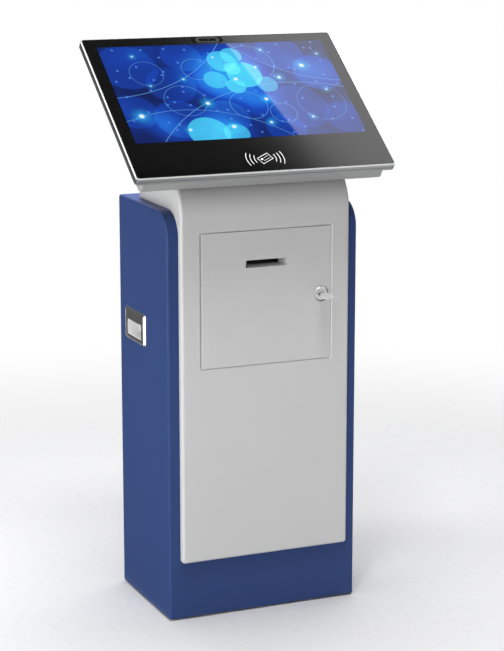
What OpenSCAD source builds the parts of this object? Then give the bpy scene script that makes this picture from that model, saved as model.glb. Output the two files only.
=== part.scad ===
// Visitor check-in kiosk: a blue folded-steel cabinet, a light grey front cover that rises into a
// neck, and a tilted touch monitor. The front faces -Y, +X is to the right of a visitor and +Z is
// up. The origin is the centre of the cabinet's footprint, on the floor. All sizes are millimetres.

/* [Cabinet] */
// Outside width of the blue cabinet
cab_w = 393.4; // [370:0.2:430]
// Outside depth of the blue cabinet
cab_d = 260; // [250:1:300]
// Height of the cabinet's flat top above the floor
cab_h = 799; // [790:1:840]
// Radius of the curve from the cabinet's front to its top
arc_r = 50; // [35:1:55]
// Outside radius of the folded front edges
edge_r = 5; // [3:0.5:6]
// Thickness of the folded steel sheet
sheet_t = 2; // [1.5:0.1:2.5]
// Width of the folded front and top flanges of a side panel
flange_w = 45; // [40:1:52]
// Width of the rear flange of a side panel
rear_flange_w = 28; // [18:1:32]
// Depth of the stiffening lip on the rear flange
rear_lip_d = 12; // [11:0.5:16]
// Height of the rear sill's top above the floor
sill_top = 80; // [70:1:100]
// Height of the lip that hangs from the rear edge of the top
top_lip_h = 28; // [20:1:40]

/* [Base] */
// Height of the recessed plinth under the cabinet
plinth_h = 4; // [3:0.5:8]
// How far the plinth stands back from the cabinet's faces
plinth_inset = 8; // [5:1:15]
// Thickness of the base slab above the plinth
base_t = 8; // [6:0.5:12]
// Floor anchor spacing across the cabinet
anchor_x = 300; // [240:5:320]
// Floor anchor spacing front to back
anchor_y = 180; // [140:5:200]
// Diameter of a floor anchor hole
anchor_d = 11; // [9:0.5:13]
// Diameter of the cable hole in the base
cable_hole_d = 40; // [32:1:50]
// Bore of the rubber grommet in the cable hole
grommet_bore_d = 30; // [20:1:31]

/* [Front cover and neck] */
// Width of the grey front cover
cover_w = 348.6; // [330:0.2:352]
// How far the front cover stands proud of the cabinet
cover_proud = 13.9; // [13:0.1:20]
// Height of the cover's lower edge above the floor
cover_z = 117; // [90:1:200]
// Outside radius of the cover's edges
cover_edge_r = 6; // [4:0.5:8]
// Bend radius where the cover turns back under the monitor
neck_bend_r = 80; // [60:1:85]
// Rear face of the neck, measured behind the cabinet's centre
neck_back_y = 75; // [60:1:90]

/* [Service door] */
// Width of the service door
door_w = 269; // [240:1:290]
// Height of the service door
door_h = 259; // [240:1:270]
// Height of the door's lower edge above the floor
door_z = 498.6; // [480:0.2:505]
// Gap round the door
door_gap = 2; // [1.5:0.1:3]
// Depth of the door's returned edges
door_return = 10; // [9:0.5:11]
// Radius of the rolled hinge edge
door_roll_r = 4; // [3.5:0.1:5]
// How far the cabinet front laps behind the door's edges
door_landing = 6.5; // [5:0.5:8]
// Diameter of the door's hinge pins
hinge_pin_d = 4; // [3:0.5:5]

/* [Receipt slot] */
// Width of the slot's mouth
slot_w = 86; // [80:1:95]
// Height of the slot's mouth
slot_h = 14.4; // [12:0.2:18]
// Height of the slot's centre above the door's lower edge
slot_up = 195.6; // [185:0.2:205]
// Depth of the paper funnel behind the door's face
slot_depth = 20; // [16:1:22]
// Width of the funnel's throat
throat_w = 65; // [60:1:72]
// Height of the funnel's throat
throat_h = 8; // [6:0.5:9]

/* [Locks] */
// Distance of a lock's axis from its door's free edge
lock_in = 20.8; // [18:0.2:26]
// Height of the service lock above the door's lower edge
lock_up = 127.9; // [110:0.2:150]
// Height of the rear lock above the floor
rear_lock_z = 420; // [380:5:500]
// Diameter of the lock's face
lock_face_d = 28; // [24:1:30]
// Thickness of the lock's face
lock_face_t = 3.5; // [2:0.5:5]
// Diameter of the lock's barrel
barrel_d = 18.8; // [17:0.2:20]
// Diameter of the turning plug
plug_d = 14; // [12:0.5:15]
// Reach of the cam from the lock's axis
cam_l = 32; // [30:1:38]
// Width of the cam
cam_w = 16; // [14:1:18]
// Thickness of the cam
cam_t = 2.5; // [2:0.5:3]

/* [Key] */
// Width of the key's bow
key_bow_w = 20; // [18:1:30]
// Length of the key's bow
key_bow_l = 34; // [24:1:36]
// Length of the key's neck between the lock's face and its bow
key_neck_l = 9; // [4:1:16]
// Thickness of the key
key_t = 2.2; // [1.8:0.1:2.6]
// Width of the key's blade
key_blade_w = 7.4; // [6:0.2:8]
// Length of the key's blade inside the plug
key_blade_l = 16; // [12:1:18]
// Turn of the key's flat side from horizontal
key_roll = 15; // [0:1:45]

/* [Side handles] */
// Length of the handle frame along the cabinet
handle_l = 110; // [100:1:125]
// Height of the handle frame
handle_h = 64; // [58:1:75]
// Centre of the handle behind the cabinet's centre
handle_y = 42; // [30:1:50]
// Height of the handle's centre above the floor
handle_z = 551; // [520:1:580]
// How far the frame stands proud of the panel
handle_proud = 4; // [2:0.5:5]
// Width of the frame's bevelled edge
handle_bevel = 5; // [3:0.5:7]
// Length of the finger opening
pull_l = 74; // [68:1:82]
// Height of the finger opening
pull_h = 30; // [24:1:34]
// How far the finger opening lies below the frame's centre
pull_drop = 6; // [4:0.5:8]
// Depth of the finger cup behind the panel
cup_d = 26; // [22:1:34]
// Height that the cup reaches up behind the grip
cup_rise = 14; // [8:1:16]
// Wall thickness of the cup
cup_t = 1.5; // [1:0.1:2]

/* [Rear door] */
// Gap round the rear door
rear_gap = 2; // [1.5:0.1:3]
// Depth of the rear door's returned edges
rear_return = 10; // [8:0.5:11]
// Height of a rear hinge
rear_hinge_h = 60; // [50:1:80]
// Radius of a rear hinge's knuckles
knuckle_r = 4; // [3.5:0.1:5]
// Width of a rear hinge's leaf
leaf_w = 18; // [14:1:19]
// Thickness of a rear hinge's leaf
leaf_t = 1.5; // [1:0.1:2]
// Height of a ventilation slot
vent_h = 3.5; // [2:0.1:3.8]
// Width of a ventilation slot
vent_w = 56; // [40:1:70]
// Distance between ventilation slots
vent_pitch = 8; // [7:0.5:12]

/* [Monitor] */
// Width of the display's picture
active_w = 476.6; // [470:0.2:485]
// Height of the display's picture
active_h = 268.1; // [260:0.2:275]
// Slope of the screen: its rise for each millimetre of depth
screen_slope = 0.75; // [0.68:0.005:0.82]
// Centre of the picture behind the cabinet's centre
screen_y = 22.9; // [15:0.1:30]
// Centre of the picture above the cabinet's top
screen_rise = 207.6; // [200:0.1:220]
// Frame width beside the picture
margin_side = 27.4; // [26:0.2:32]
// Frame width above the picture
margin_top = 25.8; // [25:0.2:30]
// Frame width below the picture
margin_bottom = 93.4; // [88:0.2:100]
// Thickness of the aluminium frame
frame_t = 15.2; // [15:0.2:18]
// Corner radius of the aluminium frame
frame_r = 7; // [5:0.5:9]
// Width of the frame's bright rim round the glass
rim_w = 2.6; // [2:0.1:3.5]
// Thickness of the front glass
glass_t = 4; // [3:0.2:5]
// Thickness of the display panel behind the glass
panel_t = 8.6; // [7:0.1:9]
// Depth of the monitor's back cover
back_t = 25.9; // [24:0.1:30]
// How far the back cover stands in from the frame's sides and top
back_inset = 16; // [12:0.5:20]
// How far the back cover stands in from the frame's lower edge
back_inset_low = 8; // [6:0.5:12]
// Hole spacing of the monitor's mounting bolts
bolt_pitch = 100; // [75:25:100]
// Diameter of the monitor's mounting bolts
bolt_d = 5; // [4:0.5:6]

/* [Camera and card reader] */
// Centre of the camera to the right of the screen's centre
camera_u = -2.5; // [-20:0.5:20]
// Width of the camera's surround
surround_w = 47; // [40:1:55]
// Height of the camera's surround
surround_h = 15; // [12:0.5:15.5]
// Centre of the card reader to the right of the screen's centre
reader_u = 3; // [-20:1:20]
// Width of the card reader's board
reader_w = 70; // [60:1:80]
// Height of the card reader's board
reader_h = 50; // [40:1:54]

/* [Receipt printer] */
// Width of the printer's chassis
printer_w = 84; // [80:1:90]
// Depth of the printer's chassis
printer_d = 72; // [66:1:80]
// Height of the paper exit above the printer shelf
exit_up = 48; // [44:1:52]
// Radius of the rubber platen roller
platen_r = 6; // [5:0.2:6.4]
// Outside radius of a full paper roll
roll_r = 32; // [26:1:34]
// Width of the paper roll
paper_w = 57.5; // [56:0.5:58]
// Bore of the paper roll's core
core_bore_d = 12.7; // [12:0.1:14]
// Diameter of the feed button
button_d = 7; // [6:0.5:8]

/* [Computer and power] */
// Height of the component shelf above the floor
shelf_z = 242; // [220:1:270]
// Width of the computer
pc_w = 190; // [180:1:210]
// Depth of the computer
pc_d = 160; // [150:1:180]
// Height of the computer
pc_h = 46; // [42:1:60]
// Diameter of the computer's power button
pc_button_d = 8; // [7:0.5:10]
// Width of the power supply
psu_w = 110; // [100:1:130]
// Depth of the power supply
psu_d = 96; // [90:1:110]
// Height of the power supply
psu_h = 42; // [38:1:50]
// Distance of the mains inlet to the left of the cabinet's centre
inlet_x = 60; // [50:1:80]
// Distance of the network socket to the right of the cabinet's centre
network_x = 60; // [40:1:90]

/* [Fan] */
// Side of the square fan frame
fan_w = 80; // [76:1:84]
// Depth of the fan
fan_d = 25; // [20:1:30]
// Height of the fan's centre above the floor
fan_z = 600; // [580:1:640]
// Number of fan blades
fan_blades = 7; // [5:1:9]

/* [Fits] */
// Radial clearance of a turning or sliding fit
run_gap = 0.06; // [0.03:0.01:0.09]
// Clearance between pieces that lie against each other
seat_gap = 0.2; // [0.1:0.05:0.3]

/* [Hidden] */
$fn = 64;
BLUE = [0.17, 0.23, 0.45];
GREY = [0.74, 0.74, 0.75];
STEEL = [0.62, 0.63, 0.65];
DARK = [0.08, 0.08, 0.09];
BRASS = [0.72, 0.6, 0.3];
GREEN = [0.08, 0.3, 0.16];
PAPER = [0.95, 0.94, 0.9];

// Half sizes of the cabinet, outside and inside
hx = cab_w / 2;
hy = cab_d / 2;
in_x = hx - sheet_t;
in_y = hy - sheet_t;
floor_z = plinth_h + base_t;
// Half width of the plain front and top panels, between the folded flanges
mid_x = hx - flange_w;
// Half width of the rear opening
rear_x = in_x - rear_flange_w;
rear_top = cab_h - top_lip_h;

// Front plane of the grey cover and half its width
cover_y = -hy - cover_proud;
cover_x = cover_w / 2;

// Screen: t is its tilt, and the head lies in its own frame with u to the right, v up the screen
// and n outwards, from the centre of the picture on the frame's front plane
t = atan(screen_slope);
screen_z = cab_h + screen_rise;
head_t = frame_t + back_t;
head_x = active_w / 2 + margin_side;
head_top = active_h / 2 + margin_top;
head_low = -active_h / 2 - margin_bottom;
back_x = head_x - back_inset;
back_top = head_top - back_inset;
back_low = head_low + back_inset_low;
back_floor = -head_t + sheet_t;
// Height of the monitor's back plane at depth y, lowered by a distance square to it
function slope_z(y, below = 0) = screen_z + (y - screen_y) * tan(t) - (head_t + below) / cos(t);
// The neck bends from the cover's front plane into the monitor's back plane
bend_turn = 90 - t;
bend_z = slope_z(cover_y) - neck_bend_r * tan(bend_turn / 2);
bend_y = cover_y + neck_bend_r;
slope_y = bend_y - neck_bend_r * sin(t);
slope_start_z = bend_z + neck_bend_r * cos(t);
slope_l = (neck_back_y - slope_y) / cos(t);
seam = 0.3;
edge_lap = 1;
// Place of the monitor's mounting bolts up the screen
mount_v = (((slope_y + neck_back_y) / 2) - screen_y - head_t * sin(t)) / cos(t);
mount_plate_t = 3;
mount_plate_x = 115;
mount_plate_h = 150;
gusset_t = 3;

gusset_foot = 15;
gusset_y0 = -72;
gusset_y1 = 42;
gusset_hole_r = 22;
bolt_head_h = 3.5;
inner_plate_t = 3;
neck_foot = 15;

// Front of the head: the glass lies in the frame, and the display, camera and reader behind it
glass_drop = 0.3;
behind_glass = -glass_drop - glass_t;
ledge_w = 5;
rear_flange_t = 2;
frame_flange_w = 23;
groove_n = -10;
groove_w = 1.2;
groove_d = 1;
panel_side = 9.5;
panel_low = 12;
panel_high = 6.5;
camera_v = active_h / 2 + 12.3;
reader_v = head_low + 37.5;

// Cable well in the cabinet's top, and the grommet in its base
well_x = 105;
well_y0 = -90;
well_y1 = 40;
cable_x = 100;
grommet_t = 2;

// Service door
door_x = door_w / 2;
door_top = door_z + door_h;
hinge_x = -door_x + door_roll_r;
hinge_y = cover_y + door_roll_r;
jamb_x = door_x + door_gap;
jamb_t = 2;
landing_x = door_x - door_landing;
slot_z = door_z + slot_up;
lock_x = door_x - lock_in;
lock_z = door_z + lock_up;
// Depth of a cam's front face behind its door's face: just behind what it catches
cam_gap = 0.5;
service_cam_d = -in_y + cam_gap - cover_y;
rear_cam_d = rear_lip_d + cam_gap;
tail_w = 8;
nut_t = 4;
pin_in = 10;
pin_slack = 0.03;
keyway_slack = 0.25;

// Rear door
rear_door_x = rear_x - rear_gap;
rear_door_z0 = sill_top + rear_gap;
rear_door_z1 = rear_top - rear_gap;
rear_hinge_x = -rear_x + rear_gap / 2;
rear_hinge_y = hy + knuckle_r + 0.3;
rear_hinge_zs = [rear_door_z0 + 60, rear_door_z1 - 60 - rear_hinge_h];
rear_lock_x = rear_door_x - lock_in;
vent_rows = 9;
leaf_back = knuckle_r + 1;
knuckle_l = rear_hinge_h / 3;
vent_low_z = rear_door_z0 + 70;
vent_columns = [-75, 0, 75];

// Handle cup
cup_x = pull_l / 2;
pull_z0 = handle_z - pull_drop - pull_h / 2;
pull_z1 = pull_z0 + pull_h;
cup_z1 = pull_z1 + cup_rise;

// Receipt printer: its front stands clear of the paper funnel, and its shelf hangs below the exit
funnel_wall = 3;
printer_y0 = cover_y + slot_depth + 2;
printer_y1 = printer_y0 + printer_d;
printer_x = printer_w / 2;
tray_z = slot_z - exit_up;
cheek_t = 2;
path_z = slot_z - 3;
platen_z = path_z + platen_r + 0.35;
cheek_top = platen_z + platen_r + 1.5;
platen_y = printer_y0 + 16;
platen_x = printer_x - cheek_t - 3;
platen_shaft_r = 2.5;
lid_lug_t = 2;
lid_lug_x = printer_x - cheek_t - 0.4;
lid_hinge_y = printer_y1 - 6;
lid_hinge_z = slot_z + 3;
lid_pin_r = 1.5;
lid_t = 2;
roll_y = printer_y1 + 6 + roll_r;
roll_z = tray_z + roll_r + 5;
spindle_r = core_bore_d / 2 - run_gap;
holder_x = paper_w / 2 + 0.6;
holder_t = 2;
switch_w = 18;
button_x = printer_x + 10;
button_z = slot_z - 2;
button_travel = 1.5;

switch_y = printer_y0 + 3;
tie_y = printer_y0 + 40;
tie_z = tray_z + 36;
head_bar_x = 34;

// Shelves
shelf_y0 = -in_y + 10;
shelf_y1 = in_y - 38;
shelf_lip = 15;
shelf_t = 2;
case_t = 1.5;
pc_button_x = pc_w / 2 - 25;
pc_button_z = shelf_z + pc_h / 2;
pc_y = shelf_y1 - pc_d / 2;
pc_back = pc_y + pc_d / 2;
psu_y = -20;
psu_x = -psu_w / 2 - 20;
terminal_d = 12;

// Boards on stand-offs in the monitor and in the computer, and the monitor's speakers
standoff_r = 2.5;
standoff_h = 6;
board_t = 1.6;
board_edge = 6;
control_w = 120;
control_h = 88;
chip_w = 40;
chip_h = 6.4;
plug_w = 14;
plug_h = 4.4;
main_w = 135;
main_d = 140;
main_x = -12.5;
cooler_w = 60;
cooler_h = 22.4;
port_w = 15;
port_h = 12.4;
port_pitch = 24;
speaker_w = 60;
speaker_h = 34;
speaker_t = 14;
cone_r = 14;

// Power inlet, rocker and network socket in the rear sill
inlet_z = (floor_z + sill_top) / 2 + 2;
inlet_w = 28;
inlet_h = 21;
inlet_d = 24;
inlet_flange = 3;
inlet_wall = 2;
inlet_pin_back = 7;
rocker_x = -inlet_x - 40;
rocker_r = 8.5;
rocker_w = 10;
rocker_y = hy + 0.5;
rocker_rest = -10;
rocker_axle_r = 1.2;
switch_body_w = 14;
switch_body_h = 22;
switch_d = 18;
socket_w = 16;
socket_h = 14;
socket_d = 20;

// Fan on the rear door
fan_hub_r = 16;
fan_bore_r = fan_w / 2 - 3;
fan_y1 = in_y;
fan_y0 = fan_y1 - fan_d;
fan_shaft_r = 1.5;
fan_back_t = 3;

// A box between its lowest and highest corners
module box(lo, hi) {
  translate(lo) cube(hi - lo);
}

// An outline in y and z, drawn out along x from x0 to x1
module along_x(x0, x1) {
  translate([x0, 0, 0]) rotate([90, 0, 90]) linear_extrude(x1 - x0) children();
}

// An outline in x and z, drawn out along y from y0 to y1
module along_y(y0, y1) {
  translate([0, y1, 0]) rotate([90, 0, 0]) linear_extrude(y1 - y0) children();
}

// A round rod along x, y or z
module rod_x(r, x0, x1) {
  translate([x0, 0, 0]) rotate([0, 90, 0]) cylinder(r = r, h = x1 - x0);
}

module rod_y(r, y0, y1) {
  translate([0, y0, 0]) rotate([-90, 0, 0]) cylinder(r = r, h = y1 - y0);
}

module rod_z(r, z0, z1) {
  translate([0, 0, z0]) cylinder(r = r, h = z1 - z0);
}

// A flat rectangle with round corners, centred
module rounded_rect(w, h, r) {
  square([w - 2 * r, h], center = true);
  square([w, h - 2 * r], center = true);
  for (i = [-1, 1], j = [-1, 1]) translate([i * (w / 2 - r), j * (h / 2 - r)]) circle(r);
}

// The head's own frame: u to the right, v up the screen, n outwards
module on_screen() {
  translate([0, screen_y, screen_z]) rotate([t, 0, 0]) children();
}

// Side view of the cabinet in y and z, from height z0, drawn in by an inset at its front and top
module cabinet_outline(inset, z0) {
  translate([-hy + inset, z0]) square([cab_d - inset, cab_h - arc_r - z0]);
  translate([-hy + arc_r, z0]) square([cab_d - arc_r, cab_h - inset - z0]);
  translate([-hy + arc_r, cab_h - arc_r]) circle(arc_r - inset);
}

// Steel base: a slab inside the cabinet's walls on a plinth that stands back from them
module base_plate() color(STEEL) difference() {
  union() {
    box([-hx + plinth_inset, -hy + plinth_inset, 0], [hx - plinth_inset, hy - plinth_inset, plinth_h]);
    translate([0, 0, plinth_h]) linear_extrude(base_t) polygon([
      [-in_x + edge_r, -in_y], [in_x - edge_r, -in_y], [in_x, -in_y + edge_r],
      [in_x, in_y], [-in_x, in_y], [-in_x, -in_y + edge_r]
    ]);
  }
  for (i = [-1, 1], j = [-1, 1])
    translate([i * anchor_x / 2, j * anchor_y / 2]) rod_z(anchor_d / 2, -1, floor_z + 1);
  translate([cable_x, 0]) rod_z(cable_hole_d / 2, -1, floor_z + 1);
}

module cable_grommet() color(DARK) translate([cable_x, 0]) difference() {
  union() {
    rod_z(cable_hole_d / 2 - seat_gap, 1, floor_z + grommet_t);
    rod_z(cable_hole_d / 2 + grommet_t, floor_z, floor_z + grommet_t);
  }
  rod_z(grommet_bore_d / 2, 0, floor_z + grommet_t + 1);
}

// Fold of a side panel: x is the depth below its outer face, y the distance in from the side
module fold_section() {
  difference() {
    intersection() {
      translate([edge_r, edge_r]) circle(edge_r);
      square(edge_r);
    }
    translate([edge_r, edge_r]) circle(edge_r - sheet_t);
  }
  translate([0, edge_r]) square([sheet_t, flange_w - edge_r]);
}

// Right side panel: a wall whose fold runs up the front, round the curve and back along the top
module side_panel() color(BLUE) difference() {
  union() {
    along_x(in_x, hx) cabinet_outline(edge_r, plinth_h);
    translate([hx, -hy, plinth_h]) rotate([0, 0, 90])
      linear_extrude(cab_h - arc_r - plinth_h) fold_section();
    translate([hx, -hy + arc_r, cab_h - arc_r]) rotate([90, 0, -90])
      rotate_extrude(angle = 90) translate([arc_r, 0]) mirror([1, 0]) fold_section();
    translate([hx, -hy + arc_r, cab_h]) rotate([0, 90, 90])
      linear_extrude(cab_d - arc_r) fold_section();
    box([rear_x, in_y, plinth_h], [in_x, hy, cab_h - sheet_t]);
    box([rear_x, hy - rear_lip_d, floor_z], [rear_x + sheet_t, in_y, cab_h - sheet_t]);
  }
  box([in_x - 1, handle_y - cup_x - cup_t - seat_gap, pull_z0 - cup_t - seat_gap],
      [hx + 1, handle_y + cup_x + cup_t + seat_gap, cup_z1 + cup_t + seat_gap]);
}

module left_side_panel() mirror([1, 0, 0]) side_panel();

module right_side_panel() side_panel();

// Front wall between the side panels' folds, with the service opening
module front_panel() color(BLUE) along_y(-hy, -in_y) difference() {
  translate([-mid_x, plinth_h]) square([2 * mid_x, cab_h - sheet_t - plinth_h]);
  translate([-landing_x, door_z + door_landing]) square([2 * landing_x, door_h - 2 * door_landing]);
}

// Top wall with the well that the monitor's cables pass, and the lip over the rear door
module top_panel() color(BLUE) {
  difference() {
    box([-mid_x, -hy, cab_h - sheet_t], [mid_x, hy, cab_h]);
    box([-well_x, well_y0, cab_h - sheet_t - 1], [well_x, well_y1, cab_h + 1]);
  }
  box([-rear_x, in_y, rear_top], [rear_x, hy, cab_h - sheet_t]);
}

// Wall under the rear door, with the cut-outs of the mains inlet, its switch and the network socket
module rear_sill() color(BLUE) along_y(in_y, hy) difference() {
  translate([-rear_x, plinth_h]) square([2 * rear_x, sill_top - plinth_h]);
  translate([-inlet_x, inlet_z]) square([inlet_w, inlet_h] + [1, 1] * 2 * seat_gap, center = true);
  translate([rocker_x, inlet_z])
    square([switch_body_w, switch_body_h] + [1, 1] * 2 * seat_gap, center = true);
  translate([network_x, inlet_z]) square([socket_w, socket_h] + [1, 1] * 2 * seat_gap, center = true);
}

// The cover's front with both its round edges, drawn in by an inset: x is the depth, y is across
module cover_rounding(inset) {
  w = cover_x - cover_edge_r;
  translate([inset, -w]) square([2 * cover_edge_r, 2 * w]);
  for (s = [-1, 1]) translate([cover_edge_r, s * w]) circle(cover_edge_r - inset);
}

module cover_section() intersection() {
  translate([0, -cover_x]) square([cover_edge_r + 2 * edge_lap, cover_w]);
  difference() {
    cover_rounding(0);
    cover_rounding(sheet_t);
  }
}

// Side wall of the cover in y and z, from its round edge back to the cabinet
module cover_side_outline() {
  r = neck_bend_r - cover_edge_r - edge_lap;
  l = 2 * neck_bend_r;
  difference() {
    translate([bend_y, bend_z]) {
      translate([-r, cover_z - bend_z]) square([r, bend_z - cover_z]);
      intersection() {
        circle(r);
        polygon([[0, 0], [-l, 0], [-l, l], [-l * sin(t + 0.3), l * cos(t + 0.3)]]);
      }
    }
    cabinet_outline(0, 0);
  }
}

// Grey cover: up the cabinet's front and round the bend to the neck's seam
module front_cover() color(GREY) difference() {
  union() {
    translate([0, bend_y, bend_z]) {
      translate([0, -neck_bend_r, cover_z - bend_z]) rotate([0, 0, 90])
        linear_extrude(bend_z - cover_z) cover_section();
      rotate([90, 0, -90]) rotate_extrude(angle = bend_turn)
        translate([neck_bend_r, 0]) mirror([1, 0]) cover_section();
    }
    along_x(cover_x - sheet_t, cover_x) cover_side_outline();
    along_x(-cover_x, sheet_t - cover_x) cover_side_outline();
    box([sheet_t - cover_x, cover_y + sheet_t, cover_z], [cover_x - sheet_t, -hy, cover_z + sheet_t]);
  }
  box([-jamb_x, cover_y - 1, door_z - door_gap], [jamb_x, cover_y + sheet_t + 0.5, door_top + door_gap]);
}

// Side wall of the neck in y and z, behind the seam and above the cabinet
module neck_side_outline() {
  r = neck_bend_r - cover_edge_r - edge_lap;
  y = bend_y + (seam + 0.5) * cos(t);
  z = bend_z + (seam + 0.5) * sin(t);
  polygon([
    [y - r * sin(t), z + r * cos(t)], [neck_back_y, slope_z(neck_back_y, cover_edge_r + edge_lap)],
    [neck_back_y, cab_h], [y - (cab_h - z) * tan(t), cab_h]
  ]);
}

// Neck behind the seam: the sheet under the monitor, with round edges and two side walls
module neck_cover() color(GREY) difference() {
  union() {
    translate([0, bend_y, bend_z]) rotate([-bend_turn, 0, 0]) translate([0, -neck_bend_r, seam])
      rotate([0, 0, 90]) linear_extrude(slope_l) cover_section();
    along_x(cover_x - sheet_t, cover_x) neck_side_outline();
    along_x(-cover_x, sheet_t - cover_x) neck_side_outline();
  }
  box([-cover_x - 1, neck_back_y, cab_h], [cover_x + 1, neck_back_y + 2 * cover_edge_r, screen_z + head_x]);
  on_screen() translate([0, mount_v, -head_t - sheet_t - 1]) mount_holes(sheet_t + 2);
}

// Holes for the monitor's bolts and cables, upwards from the origin
module mount_holes(h) {
  for (i = [-1, 1], j = [-1, 1])
    translate([i, j] * bolt_pitch / 2) cylinder(d = bolt_d + 2 * seat_gap, h = h);
  cylinder(d = cable_hole_d, h = h);
}

// Rear wall of the neck, with its foot on the cabinet's top and ventilation slots
module neck_rear_cover() color(GREY) {
  x1 = cover_x - sheet_t;
  z1 = slope_z(neck_back_y - sheet_t, sheet_t) - seat_gap;
  along_y(neck_back_y - sheet_t, neck_back_y) difference() {
    polygon([
      [-x1, cab_h], [x1, cab_h], [x1, z1 - cover_edge_r / cos(t)], [x1 - cover_edge_r, z1],
      [cover_edge_r - x1, z1], [-x1, z1 - cover_edge_r / cos(t)]
    ]);
    for (x = vent_columns, i = [0:5])
      translate([x - vent_w / 2, cab_h + 50 + i * vent_pitch]) square([vent_w, vent_h]);
  }
  box([-x1, neck_back_y - neck_foot, cab_h], [x1, neck_back_y - sheet_t, cab_h + sheet_t]);
}

// Box-shaped frame between the cover and the cabinet's front, round the service door
module door_jamb() color(GREY) difference() {
  box([-jamb_x - jamb_t, cover_y + sheet_t, door_z - door_gap - jamb_t],
      [jamb_x + jamb_t, -hy, door_top + door_gap + jamb_t]);
  box([-jamb_x, cover_y, door_z - door_gap], [jamb_x, -hy + 1, door_top + door_gap]);
  translate([hinge_x, hinge_y])
    rod_z(hinge_pin_d / 2 + pin_slack, door_z - door_gap - jamb_t - 1, door_top + door_gap + jamb_t + 1);
}

// Service door's dowels in its jamb, headed pins of the rear hinges, and the printer's two rods
module hinge_pins() color(STEEL) {
  translate([0, lid_hinge_y, lid_hinge_z]) rod_x(lid_pin_r, -printer_x - 1, printer_x + 1);
  translate([0, tie_y, tie_z]) rod_x(lid_pin_r, -printer_x - 1, printer_x + 1);
  translate([hinge_x, hinge_y]) {
    rod_z(hinge_pin_d / 2, door_z - door_gap - jamb_t - 1, door_z + pin_in);
    rod_z(hinge_pin_d / 2, door_top - pin_in, door_top + door_gap + jamb_t + 1);
  }
  for (z = rear_hinge_zs) translate([rear_hinge_x, rear_hinge_y, z]) {
    rod_z(hinge_pin_d / 2, -1, rear_hinge_h);
    rod_z(hinge_pin_d / 2 + 1, rear_hinge_h, rear_hinge_h + 1.5);
  }
}

// Bevelled frame of the right side handle, with its finger opening
module handle_frame() difference() {
  intersection() {
    translate([0, 0, handle_z - handle_h / 2]) linear_extrude(handle_h)
      translate([hx, handle_y]) bevel_outline(handle_l);
    along_y(handle_y - handle_l / 2, handle_y + handle_l / 2)
      translate([hx, handle_z]) bevel_outline(handle_h);
    along_x(hx, hx + handle_proud)
      translate([handle_y, handle_z]) rounded_rect(handle_l, handle_h, handle_bevel);
  }
  box([hx - 1, handle_y - cup_x, pull_z0], [hx + handle_proud + 1, handle_y + cup_x, pull_z1]);
}

// Section of the frame between its two bevels, for a length l
module bevel_outline(l) {
  polygon([
    [0, -l / 2], [handle_proud, handle_bevel - l / 2], [handle_proud, l / 2 - handle_bevel], [0, l / 2]
  ]);
}

module handle_frames() color(STEEL) {
  handle_frame();
  mirror([1, 0, 0]) handle_frame();
}

// Finger cup behind the right handle, which rises behind the grip
module handle_cup() difference() {
  box([hx - cup_d, handle_y - cup_x - cup_t, pull_z0 - cup_t],
      [hx, handle_y + cup_x + cup_t, cup_z1 + cup_t]);
  box([hx - cup_d + cup_t, handle_y - cup_x, pull_z0], [hx + 1, handle_y + cup_x, cup_z1]);
}

module handle_cups() color(GREY) {
  handle_cup();
  mirror([1, 0, 0]) handle_cup();
}

// Side plates of the neck, from their feet on the cabinet's top to the sloping mount plate
module neck_gusset() {
  below = sheet_t + mount_plate_t;
  along_x(mount_plate_x - gusset_t, mount_plate_x) difference() {
    polygon([
      [gusset_y0, cab_h], [gusset_y1, cab_h],
      [gusset_y1, slope_z(gusset_y1, below)], [gusset_y0, slope_z(gusset_y0, below)]
    ]);
    translate([(gusset_y0 + 2 * gusset_y1) / 3, cab_h + 60]) circle(gusset_hole_r);
  }
  box([mount_plate_x, gusset_y0, cab_h], [mount_plate_x + gusset_foot, gusset_y1, cab_h + gusset_t]);
}

module neck_gussets() color(STEEL) {
  neck_gusset();
  mirror([1, 0, 0]) neck_gusset();
}

module mount_plate() color(STEEL) on_screen() translate([0, mount_v, -head_t - sheet_t - mount_plate_t])
  difference() {
    translate([-mount_plate_x, -mount_plate_h / 2]) cube([2 * mount_plate_x, mount_plate_h, mount_plate_t]);
    translate([0, 0, -1]) mount_holes(mount_plate_t + 2);
  }

module monitor_bolts() color(STEEL) on_screen() translate([0, mount_v])
  for (i = [-1, 1], j = [-1, 1]) translate([i, j] * bolt_pitch / 2) {
    rod_z(bolt_d / 2, -head_t - sheet_t - mount_plate_t, back_floor + inner_plate_t + 1);
    translate([0, 0, -head_t - sheet_t - mount_plate_t - bolt_head_h])
      cylinder(r = bolt_d, h = bolt_head_h, $fn = 6);
  }

module monitor_inner_plate() color(STEEL) on_screen() translate([0, mount_v, back_floor]) difference() {
  translate([-mount_plate_x, -mount_plate_h / 2]) cube([2 * mount_plate_x, mount_plate_h, inner_plate_t]);
  for (i = [-1, 1], j = [-1, 1])
    translate([i, j] * bolt_pitch / 2) rod_z(bolt_d / 2 + pin_slack, -1, inner_plate_t + 1);
  rod_z(cable_hole_d / 2, -1, inner_plate_t + 1);
}

// Steel tray behind the display, with slots along its upper edge
module monitor_back_cover() color(GREY) on_screen() difference() {
  back_tray(0, -head_t, -frame_t);
  back_tray(sheet_t, back_floor, 0);
  translate([0, mount_v, -head_t - 1]) mount_holes(sheet_t + 2);
  for (x = [-2:2], i = [0:4])
    translate([x * (vent_w + 14) - vent_w / 2, back_top - 70 + i * vent_pitch, -head_t - 1])
      cube([vent_w, vent_h, sheet_t + 2]);
}

module back_tray(inset, n0, n1) translate([0, (back_top + back_low) / 2, n0])
  linear_extrude(n1 - n0)
    rounded_rect(2 * (back_x - inset), back_top - back_low - 2 * inset, frame_r - inset);

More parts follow.
